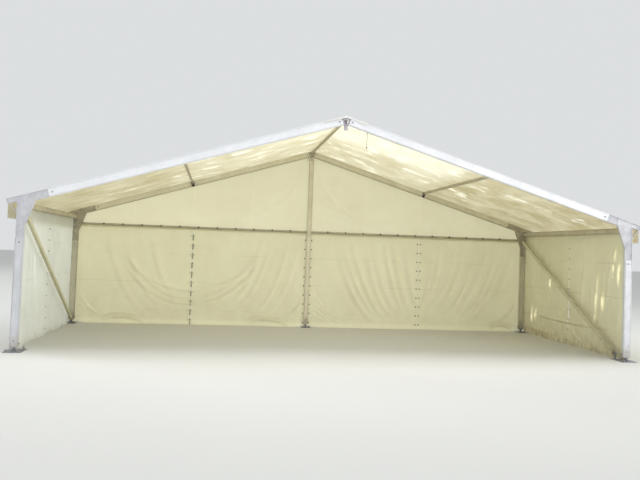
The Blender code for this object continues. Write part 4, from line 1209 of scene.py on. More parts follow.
rounded = np.sqrt(down_slope ** 2 + RIDGE_ROUND ** 2)
roof_z = RIDGE_HEIGHT - CHANNEL_INSET / math.cos(ROOF_PITCH) - rounded * math.sin(ROOF_PITCH)
tilt = np.clip(slope_at / (3 * RIDGE_ROUND), -1, 1) * ROOF_PITCH
# Where the painted leaf shade falls: more of it down the slopes and towards the rear
drift = clouds(slope_at, bay_at, (0.45, 0.9, 0.8, 6), (0.2, 0.3, 0.3, 7))
lower_slope = eased(down_slope + drift, 2.3, 3.1)
shaded_by_trees = np.where(slope_at > 0, eased(bay_at + drift, -0.7, 0.6), eased(bay_at + drift, -2.4, 0.0))
roof_mesh = closed_sheet(
    np.stack([slope_at * math.cos(ROOF_PITCH), bay_at, roof_z + lift], -1),
    np.stack([np.sin(tilt), np.zeros_like(tilt), np.cos(tilt)], -1),
    hemmed(roof_reach - down_slope), slope_at + roof_reach, bay_at + SHEET_EDGE,
    {
        "soil": ROOF_SOIL * eased(down_slope, roof_reach - 0.25, roof_reach),
        "leaf_shade": np.clip(0.10 + 0.62 * np.maximum(lower_slope, 0.66 * shaded_by_trees), 0, 1),
    },
)


def edge_bead(start, finish):
    """The round bead welded along an edge, from one point to another"""
    start, finish = Vector(start), Vector(finish)
    run = (finish - start).normalized()
    across = run.cross(Vector((0.1, 1, 0.2))).normalized()
    matrix = axes_at((start + finish) / 2, across, run.cross(across))
    return turned_bar(BEAD_IN_CHANNEL, (finish - start).length, matrix, BEAD_SIDES, BEAD_ROUND)


bead_inset = CHANNEL_LIP + math.sqrt(CHANNEL_BORE ** 2 - (CHANNEL_MOUTH / 2) ** 2)
channel_y = HALF_BAY - PROFILE_WIDTH / 2 + bead_inset
roof_parts = [roof_mesh]
for end, side in CORNERS:
    bead_span = (RAFTER_START + BEAD_SHORT, RAFTER_END - BEAD_SHORT)
    ends = [roof_point(side, along, CHANNEL_INSET) for along in bead_span]
    roof_parts.append(edge_bead(*[(x, end * channel_y, z) for x, z in ends]))
roof_piece = assemble("roof_cloth_sheet", {ROOF_CLOTH: roof_parts}, "roof_cloth", "roof_sheet")


# Valances
# A strip of the roof's cloth hangs from each eave edge. Its top is welded under the sheet, and its foot
# is hemmed and hangs in slack waves.

VALANCE_OUT = 0.140
VALANCE_DROP = 0.28
VALANCE_WAVE = 0.010
VALANCE_SOIL = 0.5
VALANCE_CLOTH = coated_cloth(
    "valance_coated_cloth", (0.92, 0.91, 0.86), (0.76, 0.72, 0.62), (0.42, 0.36, 0.26), (1.0, 0.93, 0.74),
    0.30, 0.11,
)

above_hem = np.linspace(0, VALANCE_DROP - HEM - HEM_STEP, 8)
drop_lines = np.concatenate((above_hem, [VALANCE_DROP - HEM, VALANCE_DROP]))
run_lines = hemmed_spacing(2 * SHEET_EDGE, 0.03) - SHEET_EDGE
run_at, drop_at = np.meshgrid(run_lines, drop_lines, indexing="ij")
slack = (drop_at / VALANCE_DROP) ** 1.5 * eased(SHEET_EDGE - np.abs(run_at), 0.0, 0.2)
for side in (LEFT, RIGHT):
    valance_name = f"{SIDE_NAMES[side]}_valance"
    top_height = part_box(valance_name)[1].z
    small_wave = (VALANCE_WAVE / 2, 0.09, 0.4, 15 + side)
    wave = clouds(run_at, drop_at, (VALANCE_WAVE, 0.20, 0.9, 11 + side), small_wave)
    middle = np.stack([side * (HALF_SPAN + VALANCE_OUT) + wave * slack, run_at, top_height - drop_at], -1)
    strip = closed_sheet(
        middle, (side, 0, 0), hemmed(VALANCE_DROP - drop_at), run_at + SHEET_EDGE, VALANCE_DROP - drop_at,
        {"soil": VALANCE_SOIL * eased(drop_at, 0.12, VALANCE_DROP)},
    )
    piece = assemble(valance_name + "_strip", {VALANCE_CLOTH: [strip]}, "roof_cloth", valance_name)


# Rear gable sheet
# One sheet fills the gable over the rear panels' tops. It is welded from upright widths of cloth and is drawn
# tight, so it has only faint seams, a few shallow folds that slant from the upright, and slight waves.

WALL_BACK = HALF_BAY + PROFILE_WIDTH / 2 + 0.0003
WALL_SOLID = 0.003
GABLE_FOOT = TRANSOM_HEIGHT - 0.060
GABLE_EDGE = 0.020
GABLE_WIDTH_OF_CLOTH = 1.25
GABLE_SOIL = 0.10
GABLE_SWELL = 0.007
# The cream tint is partly the cloth's ivory and partly painted warm light through the roof
GABLE_CLOTH = coated_cloth(
    "gable_coated_cloth", (0.92, 0.91, 0.82), (0.88, 0.87, 0.77), (0.40, 0.37, 0.24), (0.97, 0.95, 0.80),
    0.66, 0.3, GABLE_WIDTH_OF_CLOTH, crumpled=0.12, creased=0.12,
)
SWAG_STEPS = 14
HOLLOW_SHARE = 0.45
HOLLOW_AWAY = 1.7
GABLE_FOLDS = 5
GABLE_FOLD_HALF = 0.045
GABLE_FOLD_RISE = {LEFT: 0.004, RIGHT: 0.009}


def swag(across, height, start, low, end, half_width, rise, to_the_end=False):
    """One draped fold along the curve from start by low to end, narrower there, with a hollow beside it"""
    share = np.linspace(0, 1, SWAG_STEPS + 1)
    rest = 1 - share
    x, z = (rest ** 2 * start[i] + 2 * rest * share * low[i] + share ** 2 * end[i] for i in (0, 1))
    nearest = np.full(across.shape, 1e9)
    offset = np.zeros(across.shape)
    place = np.zeros(across.shape)
    for i in range(SWAG_STEPS):
        step_x, step_z = x[i + 1] - x[i], z[i + 1] - z[i]
        away_x, away_z = across - x[i], height - z[i]
        along = np.clip((away_x * step_x + away_z * step_z) / (step_x ** 2 + step_z ** 2), 0, 1)
        squared = (away_x - along * step_x) ** 2 + (away_z - along * step_z) ** 2
        closer = squared < nearest
        nearest = np.where(closer, squared, nearest)
        offset = np.where(closer, step_x * away_z - step_z * away_x, offset)
        place = np.where(closer, (i + along) / SWAG_STEPS, place)
    side_share = np.sign(offset) * np.sqrt(nearest) / (half_width * (1.2 - 0.5 * place))
    outline = np.exp(-side_share ** 2) - HOLLOW_SHARE * np.exp(-(side_share - HOLLOW_AWAY) ** 2)
    strength = np.sin(np.pi * np.clip(place * (0.5 if to_the_end else 1.0), 0.01, 0.99)) ** 0.7
    return rise * outline * strength


gable_half = HALF_SPAN - GABLE_EDGE
gable_columns = hemmed_spacing(2 * gable_half, 0.032) - gable_half
gable_rows = np.concatenate(([0, HEM / 2, HEM], np.linspace(HEM + HEM_STEP, 1.0, 48)))
gable_x, gable_share = np.meshgrid(gable_columns, gable_rows, indexing="ij")
gable_top = RIDGE_HEIGHT - GABLE_EDGE - np.abs(gable_x) * math.tan(ROOF_PITCH)
gable_z = GABLE_FOOT + gable_share * (gable_top - GABLE_FOOT)
free = eased(gable_z, 2.14, 2.40) * eased(gable_top - gable_z, 0.16, 0.45)
free *= eased(np.abs(gable_x), 0.05, 0.35)
gable_swell = clouds(gable_x, gable_z, (GABLE_SWELL, 0.8, 0.9, 21), (0.35 * GABLE_SWELL, 0.25, 0.6, 22))
for k in range(GABLE_FOLDS):
    head = (0.10 + 0.05 * k, 3.50 - 0.24 * k)
    bend = (0.45 + 0.15 * k, 2.75 - 0.10 * k)
    foot = (0.95 + 0.30 * k, 2.28 - 0.02 * k)
    for side, rise in GABLE_FOLD_RISE.items():
        gable_swell -= swag(side * gable_x, gable_z, head, bend, foot, GABLE_FOLD_HALF, rise)
gable_y = WALL_BACK + 1.5 * WALL_SOLID + JOINT_GAP + gable_swell * free
gable_mesh = closed_sheet(
    np.stack([gable_x, gable_y, gable_z], -1), (0, 1, 0), hemmed(gable_z - GABLE_FOOT),
    gable_x + 8 * GABLE_WIDTH_OF_CLOTH, gable_z, {"soil": GABLE_SOIL * eased(gable_z, 2.3, 2.02)},
)
gable_piece = assemble("rear_gable_cloth", {GABLE_CLOTH: [gable_mesh]}, "wall_cloth", "rear_gable_sheet")


# Rear wall panels
# Four hemmed panels hang from the transoms by their top edges and are laced together at the middle of
# each half. They hang slack: long folds drape from the posts towards the foot of each lace, and the hems
# roll and lift.

PANEL_TOP = TRANSOM_HEIGHT + 0.020
PANEL_SHADE = math.radians(60)
WALL_FOOT = 0.0125
GRID = 0.020
LACE_AT = HALF_SPAN / 2
LACE_FOOT = 0.10
LACE_PITCH = 0.20
FANS = {
    1: (3, (0.9, 1.9), (0.4, 0.9), 0.018),
    2: (4, (1.5, 2.3), (0.9, 1.7), 0.018),
    3: (8, (0.35, 1.9), (0.08, 1.0), 0.036),
    4: (9, (0.35, 2.25), (0.05, 1.25), 0.046),
}
SLUNG_HEIGHTS = (0.44, 0.56, 0.74)
SLUNG_RISE = 0.024
FOOT_FOLDS = 5
PUCKER = 0.0035
UNDER_HOOKS = 0.0018
BELLY = 0.012
FOOT_KICK = 0.022
HEM_SINKS = 0.0105
HEM_REACH = 0.06
KICKED_HEMS = ((-3.90, 0.33), (-0.85, 0.34), (4.45, 0.20))
KICKED_IN = 0.030
KICKED_RISE = 0.055
ROLL_UNDER = 0.040
# The cream tint is partly the cloth's ivory and partly painted warm light through the roof
REAR_CLOTH = coated_cloth(
    "rear_coated_cloth", (0.85, 0.84, 0.71), (0.79, 0.78, 0.64), (0.36, 0.34, 0.22), (0.97, 0.95, 0.78), 0.55,
    0.3, crumpled=0.28,
)


def draped_fan(from_lace, height, seed, folds, top, foot, rise):
    """Folds that start along the top, between these places from the lace, and sweep to the lace's foot"""
    hang = random.Random(seed)
    field = np.zeros(from_lace.shape)
    for k in range(folds):
        share = (k + hang.uniform(-0.3, 0.3)) / (folds - 1)
        start = (top[0] + (top[1] - top[0]) * share, 2.0 - hang.uniform(0.0, 0.30))
        end_across = foot[0] + (foot[1] - foot[0]) * share + hang.uniform(-0.06, 0.06)
        end = (end_across, 0.52 - 0.36 * share + hang.uniform(-0.08, 0.10))
        bent = 0.62 + hang.uniform(-0.08, 0.08)
        low = (end[0] + bent * (start[0] - end[0]), end[1] + 0.25 * (start[1] - end[1]))
        half_width = hang.uniform(0.046, 0.070)
        field += swag(from_lace, height, start, low, end, half_width, rise * hang.uniform(0.6, 1.1))
    return field


def slung_folds(from_lace, height, seed):
    """A few long folds that hang across the lace from panel to panel, like slack ropes"""
    hang = random.Random(seed)
    field = np.zeros(from_lace.shape)
    for lowest in SLUNG_HEIGHTS:
        start = (1.35 + hang.uniform(-0.15, 0.35), lowest + 0.95 + hang.uniform(-0.1, 0.15))
        low = (0.62 * start[0], lowest + hang.uniform(0.0, 0.03))
        half_width = hang.uniform(0.034, 0.046)
        field += swag(from_lace, height, start, low, (0.0, lowest), half_width, SLUNG_RISE, to_the_end=True)
    return field


def foot_folds(from_post, height, seed):
    """Short folds that fall away from the foot of a post"""
    hang = random.Random(seed)
    field = np.zeros(from_post.shape)
    for _ in range(FOOT_FOLDS):
        start = (0.04 + hang.uniform(0, 0.06), hang.uniform(0.30, 0.95))
        end = (start[0] + hang.uniform(0.35, 0.75), hang.uniform(0.06, 0.22))
        low = (start[0] + 0.25 * (end[0] - start[0]), end[1] + 0.30 * (start[1] - end[1]))
        half_width = hang.uniform(0.022, 0.036)
        field += swag(from_post, height, start, low, end, half_width, hang.uniform(0.006, 0.011))
    return field


def puckers(from_edge, height):
    """Small pulls round the eyelets of a laced edge"""
    return PUCKER * np.cos(2 * np.pi * (height - LACE_FOOT) / LACE_PITCH) * np.exp(-from_edge / 0.07)


def near_foot(height, reach):
    """1 at the foot of a wall, and fading upwards"""
    return np.exp(-(height - WALL_FOOT) / reach)


def hang_panel(name, across, height, top, middle, outward, marks, finish, beads=()):
    """One hemmed panel, from its grid of places along the wall and up it to the finished piece"""
    start, stop = across[0, 0], across[-1, 0]
    to_edge = np.minimum(across - start, stop - across)
    to_edge = np.minimum(to_edge, np.minimum(height - WALL_FOOT, top - height))
    cloth = closed_sheet(middle, outward, hemmed(to_edge), across - start, height, marks)
    piece = assemble(name + "_cloth", {finish: [cloth, *beads]}, "wall_cloth", name, shade=PANEL_SHADE)


rear_rows = hemmed_spacing(PANEL_TOP - WALL_FOOT, GRID) + WALL_FOOT
rear_hang = []
for number in (1, 2, 3, 4):
    panel_name = f"rear_wall_panel_{number}"
    low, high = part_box(panel_name)
    lace_x = math.copysign(LACE_AT, low.x + high.x)
    post_x = math.copysign(LEG_CENTRE, lace_x) if number in (1, 4) else 0.0
    columns = hemmed_spacing(high.x - low.x, GRID) + low.x
    x_at, z_at = np.meshgrid(columns, rear_rows, indexing="ij")
    from_lace, from_post = np.abs(x_at - lace_x), np.abs(x_at - post_x)
    calm_top = eased(z_at, 1.98, 1.80)
    calm_post = eased(from_post, 0.07, 0.22)
    drape = draped_fan(from_lace, z_at, 40 + number, *FANS[number])
    if number in (1, 2):
        drape += slung_folds(from_lace, z_at, 50)
    drape += foot_folds(from_post, z_at, 60 + number)
    hem_wave = clouds(x_at, z_at, (0.018, 0.33, 3.0, 100 + number), (0.008, 0.12, 0.5, 110 + number))
    under_roll_shade = np.zeros(x_at.shape)
    for kicked_at, half_length in KICKED_HEMS:
        roll_start, roll_end = kicked_at - 1.3 * half_length, kicked_at + 1.5 * half_length
        roll = ((roll_start, 0.10), (kicked_at, 0.26), (roll_end, 0.05))
        drape += swag(x_at, z_at, *roll, 0.042, KICKED_RISE)
        # paints shade under each rolled hem, as a dark band just below the roll
        under_roll_shade = np.maximum(under_roll_shade, swag(x_at, z_at + ROLL_UNDER, *roll, 0.024, 1.0))
        hem_wave += KICKED_IN * np.exp(-((x_at - kicked_at) / half_length) ** 2)
    drape += clouds(
        x_at, z_at, (0.013, 0.75, 0.65, 70 + number), (0.0055, 0.22, 0.30, 80 + number),
        (0.0012, 0.08, 0.09, 90 + number),
    )
    hooks = UNDER_HOOKS * np.cos(2 * np.pi * x_at / 0.4) * np.exp(-np.abs(PANEL_TOP - 0.12 - z_at) / 0.22)
    belly = BELLY * eased(from_post, 0.1, 1.0) * eased(from_lace, 0.0, 0.7) * eased(z_at, 1.9, 0.9)
    inward = (drape * calm_post + puckers(from_lace, z_at) + belly * calm_post) * calm_top
    inward += (hooks + hem_wave * near_foot(z_at, 0.10) + FOOT_KICK * near_foot(z_at, HEM_REACH)) * calm_post
    sinks = HEM_SINKS * near_foot(z_at, HEM_REACH) * eased(from_post, 0.16, 0.30)
    middle = np.stack([x_at, WALL_BACK + WALL_SOLID / 2 - inward, z_at - sinks], -1)
    soil = 0.35 * near_foot(z_at, 0.012) + 0.22 * eased(z_at, 1.1, 0.25) * eased(z_at, 0.09, 0.14)
    # the band at the foot of each panel gets the painted hem highlight
    marks = {"soil": np.clip(np.maximum(soil, under_roll_shade), 0, 1), "hem_highlight": eased(z_at, 0.10, 0.08)}
    hang_panel(panel_name, x_at, z_at, PANEL_TOP, middle, (0, 1, 0), marks, REAR_CLOTH)
    rear_hang.append((columns, rear_rows, inward))


# Side wall panels
# Two hemmed panels a side, laced together in the middle. Beads along their outer edges run in the legs'
# channels, and their tops are tied to the eave purlin. The hems are muddy. Painted glints lie along sharp
# folds of the right wall, where the cloth lets more light through.

SIDE_TOP = EAVE_PURLIN_HEIGHT + EAVE_PURLIN_DEPTH / 2 + 0.010
SIDE_PLANE = HALF_SPAN - CHANNEL_INSET
SIDE_GRID = {LEFT: 1.1 * GRID, RIGHT: 0.8 * GRID}
# Each wall's copy of the cloth has a tint painted for the light on that side: pale and cool on the left,
# warmer and yellower on the right
SIDE_CLOTH = {
    LEFT: coated_cloth(
        "left_cloth_cool_lit", (0.87, 0.89, 0.87), (0.70, 0.73, 0.70), (0.40, 0.38, 0.30), (0.93, 0.94, 0.90),
        0.52, 0.45,
    ),
    RIGHT: coated_cloth(
        "right_cloth_warm_lit", (0.90, 0.885, 0.68), (0.80, 0.785, 0.58), (0.42, 0.35, 0.22), (1.0, 0.97, 0.80),
        0.07, 0.45, glinting_creases=True,
    ),
}
LONG_FOLDS = 7
LOW_FOLDS = 3
LEVEL_FOLD = ((1.9, 0.48), (0.2, 0.41), (-1.7, 0.47))
LEVEL_FOLD_SHADE = ((1.9, 0.455), (0.2, 0.385), (-1.7, 0.445))
SHARP_FOLDS = {
    FRONT: (
        (-1.26, 1.48, 0.45, 0.14), (-1.50, 1.15, 0.75, 0.06), (-1.95, 1.92, 1.35, 0.14),
        (-2.12, 1.75, 1.20, 0.05),
    ),
    REAR: ((0.98, 1.35, 0.95, -0.04), (1.93, 0.68, 0.22, 0.04), (1.70, 0.62, 0.30, 0.10)),
}
MOST_INWARD = 0.030
SIDE_FOOT_KICK = 0.008
MUD_REACH = {LEFT: 0.06, RIGHT: 0.09}


def hanging_folds(from_lace, height, hang):
    """Long folds down the panel, and low ones that fall away from the foot of the lace"""
    field = np.zeros(from_lace.shape)
    for k in range(LONG_FOLDS + LOW_FOLDS):
        if k < LONG_FOLDS:
            start = (hang.uniform(0.25, 2.2), hang.uniform(1.5, 1.95))
            end = (start[0] + hang.uniform(-0.35, 0.20), hang.uniform(0.25, 0.9))
            low = (start[0] + hang.uniform(-0.08, 0.08), (start[1] + end[1]) / 2)
            half_width, rise = hang.uniform(0.030, 0.060), hang.uniform(0.006, 0.014)
        else:
            start = (hang.uniform(0.02, 0.10), hang.uniform(0.45, 0.75))
            end = (start[0] + hang.uniform(0.3, 0.6), hang.uniform(0.10, 0.2))
            low = (start[0] + 0.1, end[1] + 0.1)
            half_width, rise = hang.uniform(0.022, 0.036), hang.uniform(0.007, 0.012)
        field += swag(from_lace, height, start, low, end, half_width, rise)
    return field


side_rows = {
    side: hemmed_spacing(SIDE_TOP - WALL_FOOT, SIDE_GRID[side]) + WALL_FOOT for side in (LEFT, RIGHT)
}
side_hang = {LEFT: [], RIGHT: []}
for side in (LEFT, RIGHT):
    for end in (FRONT, REAR):
        panel_name = f"{SIDE_NAMES[side]}_wall_panel_{END_NAMES[end]}"
        low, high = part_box(panel_name)
        columns = hemmed_spacing(high.y - low.y, SIDE_GRID[side]) + low.y
        y_at, z_at = np.meshgrid(columns, side_rows[side], indexing="ij")
        from_lace, from_leg = np.abs(y_at), SHEET_EDGE - np.abs(y_at)
        seed = 200 + 10 * (side + 1) + 2 * (end + 1)
        drape = hanging_folds(from_lace, z_at, random.Random(seed))
        soil = near_foot(z_at, MUD_REACH[side]) + 0.30 * eased(z_at, 1.2, 0.1)
        # paints shade in the gap along the legs, on the panel's edge beside each leg
        soil = np.maximum(soil, eased(from_leg, 0.045, 0.015))
        wear_and_glint = np.zeros(y_at.shape)
        if side == RIGHT:
            drape += swag(y_at, z_at, *LEVEL_FOLD, 0.026, 0.022)
            # paints shade just under the level fold
            soil = np.maximum(soil, 0.75 * swag(y_at, z_at, *LEVEL_FOLD_SHADE, 0.020, 1.0))
            soil += eased(y_at, 0.7, 1.3) * eased(z_at, 0.17, 0.06)
            for fold_y, fold_top, fold_foot, lean in SHARP_FOLDS[end]:
                bent = (fold_y + 0.05, (fold_top + fold_foot) / 2)
                crease = ((fold_y, fold_top), bent, (fold_y + lean, fold_foot))
                drape += swag(y_at, z_at, *crease, 0.030, 0.026)
                # marks the painted glints along each sharp fold
                wear_and_glint = np.maximum(wear_and_glint, swag(y_at, z_at, *crease, 0.060, 1.0))
        drape += clouds(
            y_at, z_at, (0.012, 0.7, 0.8, seed + 1), (0.0045, 0.20, 0.45, seed + 2),
            (0.0012, 0.08, 0.10, seed + 3),
        )
        hem_wave = clouds(y_at, z_at, (0.020, 0.30, 3.0, seed + 4), (0.008, 0.11, 0.5, seed + 5))
        calm = eased(z_at, 2.10, 1.90) * eased(from_leg, 0.02, 0.20)
        inward = np.minimum((drape + puckers(from_lace, z_at)) * calm, MOST_INWARD)
        inward += (1.4 * hem_wave + SIDE_FOOT_KICK) * near_foot(z_at, 0.10) * eased(from_leg, 0.02, 0.25)
        sinks = HEM_SINKS * near_foot(z_at, HEM_REACH) * eased(np.abs(y_at), 2.16, 2.02)
        middle = np.stack([side * (SIDE_PLANE - inward), y_at, z_at - sinks], -1)
        bead_span = (LEG_FOOT + BEAD_SHORT, LEG_TOP - BEAD_SHORT)
        bead_ends = [(side * SIDE_PLANE, end * channel_y, z) for z in bead_span]
        marks = {"soil": np.clip(soil, 0, 1), "wear_and_glint": wear_and_glint}
        hang_panel(
            panel_name, y_at, z_at, SIDE_TOP, middle, (side, 0, 0), marks, SIDE_CLOTH[side],
            [edge_bead(*bead_ends)],
        )
        side_hang[side].append((columns, side_rows[side], inward))


# Lacing, eyelets and ball ties
# Rope closes the seams between panels every 200 mm, with loops or knots through metal eyelets in the
# hems. Rubber ties with a ball go round the transoms about every 400 mm and carry the rear panels.

EYELET_RADIUS = 0.0085
EYELET_WIRE = 0.0022
EYELET_PROUD = 0.001
EYELET_BACK = 0.003
LOOP_ROPE = 0.0090
LOOP_LENGTH = 0.125
LOOP_WIDTH = 0.020
LOOP_ASIDE = 0.005
LOOP_DOWN = 0.03
TIE_RUBBER = 0.0065
TIE_BALL = 0.0160
TIE_PITCH = 0.395
TIES_A_SIDE = 11
FIRST_TIE = 0.415
BALL_ASIDE = -0.62
BALL_FORWARD = -1.05
PAIR_HALF = 0.037
MIDDLE_PAIR_WIDER = 1.9
PAIR_KNOT = 0.0125
SIDE_KNOT = 0.0105
KNOT_PROUD = 0.003
SIDE_KNOT_PROUD = 0.004
KNOT_FLATTENED = (1.0, 1.25, 0.6)
KNOTS_TURNED = 0.8
LACES = 10
SMALL_SHADE = math.radians(70)
TOWARDS_FRONT = (0, -1, 0)


def dark_cord(name, dark, wear_and_glint):
    """Rope and rubber: fine slanting strands, dusty where they are rubbed"""
    finish, tree, surface = empty_finish(name)
    place = tree.add("ShaderNodeTexCoord").outputs["Object"]
    strands = tree.add(
        "ShaderNodeTexWave", {"Vector": place, "Scale": 48.0, "Distortion": 1.5},
        wave_type="BANDS", bands_direction="DIAGONAL",
    ).outputs["Fac"]
    dust = tree.spread(tree.noise(place, 35.0, 5.0, 0.6), 0.40, 0.70)
    colour = tree.blend(tree.times(dust, 0.7), dark, wear_and_glint)
    colour = tree.blend(tree.times(strands, 0.35), colour, tinted(dark, 0.5))
    bumpy_surface(tree, surface, colour, tree.spread(dust, 0.0, 1.0, 0.55, 0.85), 0.0, strands, 0.5, 0.0008)
    return finish


SIDE_ROPE = dark_cord("side_lacing_rope", (0.30, 0.26, 0.17), (0.44, 0.40, 0.27))
DARK_ROPE = dark_cord("lacing_rope", (0.045, 0.040, 0.028), (0.12, 0.10, 0.07))
TIE_FINISH = dark_cord("tie_rubber", (0.030, 0.030, 0.028), (0.11, 0.10, 0.09))
EYELET_STEEL = galvanised_steel(
    "eyelet_metal", (0.30, 0.28, 0.23), (0.16, 0.15, 0.12), (0.22, 0.15, 0.08), 0.6, 0.42
)


def sized_tree(name, **sizes):
    """An empty Geometry Nodes tree, its points, and one named input for each size"""
    made = bpy.data.node_groups.new(name, "GeometryNodeTree")
    made.interface.new_socket("Geometry", in_out="INPUT", socket_type="NodeSocketGeometry")
    for key, value in sizes.items():
        made.interface.new_socket(key, in_out="INPUT", socket_type="NodeSocketFloat").default_value = value
    made.interface.new_socket("Geometry", in_out="OUTPUT", socket_type="NodeSocketGeometry")
    tree = NodeTree(made)
    entry = tree.add("NodeGroupInput").outputs
    return tree, entry["Geometry"], *(entry[key] for key in sizes)


def scattered(tree, points, geometry, finish, turned=0.0):
    """Ends a tree: the geometry at every point, its z along the point's facing, made real, with its finish"""
    facing = tree.add("GeometryNodeInputNamedAttribute", {"Name": "facing"}, data_type="FLOAT_VECTOR")
    spin = tree.add("FunctionNodeRandomValue", {"Max": turned, "Seed": 4}, data_type="FLOAT")
    turn = tree.add("ShaderNodeCombineXYZ", {"Z": spin.outputs["Value"]}).outputs[0]
    aim = tree.add("FunctionNodeAlignRotationToVector", {"Vector": facing.outputs["Attribute"]}, axis="Z")
    rotations = {"Rotation": aim.outputs[0], "Rotate By": turn}
    spun = tree.add("FunctionNodeRotateRotation", rotations, rotation_space="LOCAL").outputs[0]
    placing = {"Points": points, "Instance": geometry, "Rotation": spun}
    placed = tree.add("GeometryNodeInstanceOnPoints", placing).outputs[0]
    real = tree.add("GeometryNodeRealizeInstances", {"Geometry": placed}).outputs[0]
    finished = tree.add("GeometryNodeSetMaterial", {"Geometry": real, "Material": finish}).outputs[0]
    tree.add("NodeGroupOutput", {"Geometry": finished})


def ring_in_tree(tree, radius, thickness, across=1.0, around=18, section=6):
    """A ring of round wire, narrowed across"""
    circle = tree.add("GeometryNodeCurvePrimitiveCircle", {"Resolution": around, "Radius": radius}).outputs[0]
    narrowed = tree.add("ShaderNodeCombineXYZ", {"X": across, "Y": 1.0, "Z": 1.0}).outputs[0]
    line = tree.add("GeometryNodeTransform", {"Geometry": circle, "Scale": narrowed}).outputs[0]
    wire_sizes = {"Resolution": section, "Radius": thickness}
    wire = tree.add("GeometryNodeCurvePrimitiveCircle", wire_sizes).outputs[0]
    return tree.add("GeometryNodeCurveToMesh", {"Curve": line, "Profile Curve": wire}).outputs[0]


def joined_in_tree(tree, parts):
    joined = tree.add("GeometryNodeJoinGeometry")
    for part in parts:
        tree.feed(joined.inputs[0], part)
    return joined.outputs[0]


def grown(tree, spots, **sizes):
    """The plain mesh that a tree makes on (place, facing) pairs"""
    mesh = bpy.data.meshes.new("spots")
    mesh.from_pydata([tuple(place) for place, _ in spots], [], [])
    layer = mesh.attributes.new("facing", "FLOAT_VECTOR", "POINT")
    layer.data.foreach_set("vector", [part for _, facing in spots for part in facing])
    holder = put_in_scene("spots", mesh)
    modifier = holder.modifiers.new("grow", "NODES")
    modifier.node_group = tree.made
    for item in tree.made.interface.items_tree:
        if item.in_out == "INPUT" and item.name in sizes:
            modifier[item.identifier] = float(sizes[item.name])
    result = plain_mesh_of(holder)
    bpy.data.meshes.remove(mesh)
    return result


eyelet_tree, points, radius, wire = sized_tree("eyelet", Radius=EYELET_RADIUS, Wire=EYELET_WIRE)
scattered(eyelet_tree, points, ring_in_tree(eyelet_tree, radius, wire, around=14), EYELET_STEEL)

loop_sizes = {"Length": LOOP_LENGTH / 2, "Rope": LOOP_ROPE / 2, "Slimness": LOOP_WIDTH / LOOP_LENGTH}
loop_tree, points, length, rope, slimness = sized_tree("rope_loop", **loop_sizes)
scattered(loop_tree, points, ring_in_tree(loop_tree, length, rope, slimness), DARK_ROPE)


def knot_in_rope(name, finish):
    """A tree that puts a small flattened knot of rope at every point"""
    tree, points, radius = sized_tree(name, Radius=PAIR_KNOT)
    lump = tree.add("GeometryNodeMeshIcoSphere", {"Radius": radius, "Subdivisions": 2}).outputs[0]
    flattened = tree.add("GeometryNodeTransform", {"Geometry": lump, "Scale": KNOT_FLATTENED}).outputs[0]
    scattered(tree, points, flattened, finish, KNOTS_TURNED)
    return tree


knot_tree = knot_in_rope("knot", DARK_ROPE)
side_knot_tree = knot_in_rope("side_knot", SIDE_ROPE)

tie_sizes = {"Reach": TRANSOM_RADIUS + TIE_RUBBER / 2, "Rubber": TIE_RUBBER / 2, "Ball": TIE_BALL}
tie_tree, points, reach, rubber, ball_radius = sized_tree("ball_tie", **tie_sizes)
ball = tie_tree.add("GeometryNodeMeshIcoSphere", {"Radius": ball_radius, "Subdivisions": 3}).outputs[0]
ball_spot = {"X": tie_tree.times(reach, BALL_ASIDE), "Y": tie_tree.times(reach, BALL_FORWARD)}
ball_away = tie_tree.add("ShaderNodeCombineXYZ", ball_spot).outputs[0]
ball_placed = tie_tree.add("GeometryNodeTransform", {"Geometry": ball, "Translation": ball_away}).outputs[0]
tie_shape = joined_in_tree(tie_tree, (ring_in_tree(tie_tree, reach, rubber), ball_placed))
scattered(tie_tree, points, tie_shape, TIE_FINISH)


def hung_at(hangs, across, height):
    """How far inward the cloth hangs at a place, from (columns, rows, inward) of the panels"""
    for columns, rows, inward in hangs:
        if columns[0] <= across <= columns[-1]:
            return float(inward[np.abs(columns - across).argmin(), np.abs(rows - height).argmin()])
    return 0.0


def on_rear(x, height, proud):
    """A place this far in front of the rear cloth"""
    return x, WALL_BACK + WALL_SOLID / 2 - CLOTH / 2 - hung_at(rear_hang, x, height) - proud, height


def on_side(side, y, height, proud):
    """A place this far inside a side wall's cloth"""
    return side * (SIDE_PLANE - CLOTH / 2 - hung_at(side_hang[side], y, height) - proud), y, height


eyelets, loops, knots, side_knots = [], [], [], []
for k in range(LACES):
    height = LACE_FOOT + LACE_PITCH * k
    for lace_x in (-LACE_AT, LACE_AT):
        for across in (-PAIR_HALF, PAIR_HALF):
            x, y, z = on_rear(lace_x + across, height, EYELET_PROUD)
            eyelets += [((x, y, z), TOWARDS_FRONT), ((x, y + EYELET_BACK, z), TOWARDS_FRONT)]
    loops.append((on_rear(-LACE_AT + LOOP_ASIDE, height - LOOP_DOWN, LOOP_ROPE), TOWARDS_FRONT))
    for across in (-PAIR_HALF, PAIR_HALF):
        for knot_x in (LACE_AT + across, across * MIDDLE_PAIR_WIDER):
            knots.append((on_rear(knot_x, height, KNOT_PROUD), TOWARDS_FRONT))
    for side in (LEFT, RIGHT):
        for across in (-PAIR_HALF / 2, PAIR_HALF / 2):
            side_knots.append((on_side(side, across, height, SIDE_KNOT_PROUD), (-side, 0, 0)))
rear_lacing = [grown(loop_tree, loops), grown(knot_tree, knots)]
side_lacing = [grown(side_knot_tree, side_knots, Radius=SIDE_KNOT)]
assemble("wall_eyelets", {EYELET_STEEL: [grown(eyelet_tree, eyelets)]}, "steel_fittings", shade=SMALL_SHADE)
assemble("wall_lacing", {DARK_ROPE: rear_lacing}, "wall_cloth", shade=SMALL_SHADE)
assemble("side_wall_lacing", {SIDE_ROPE: side_lacing}, "wall_cloth", shade=SMALL_SHADE)

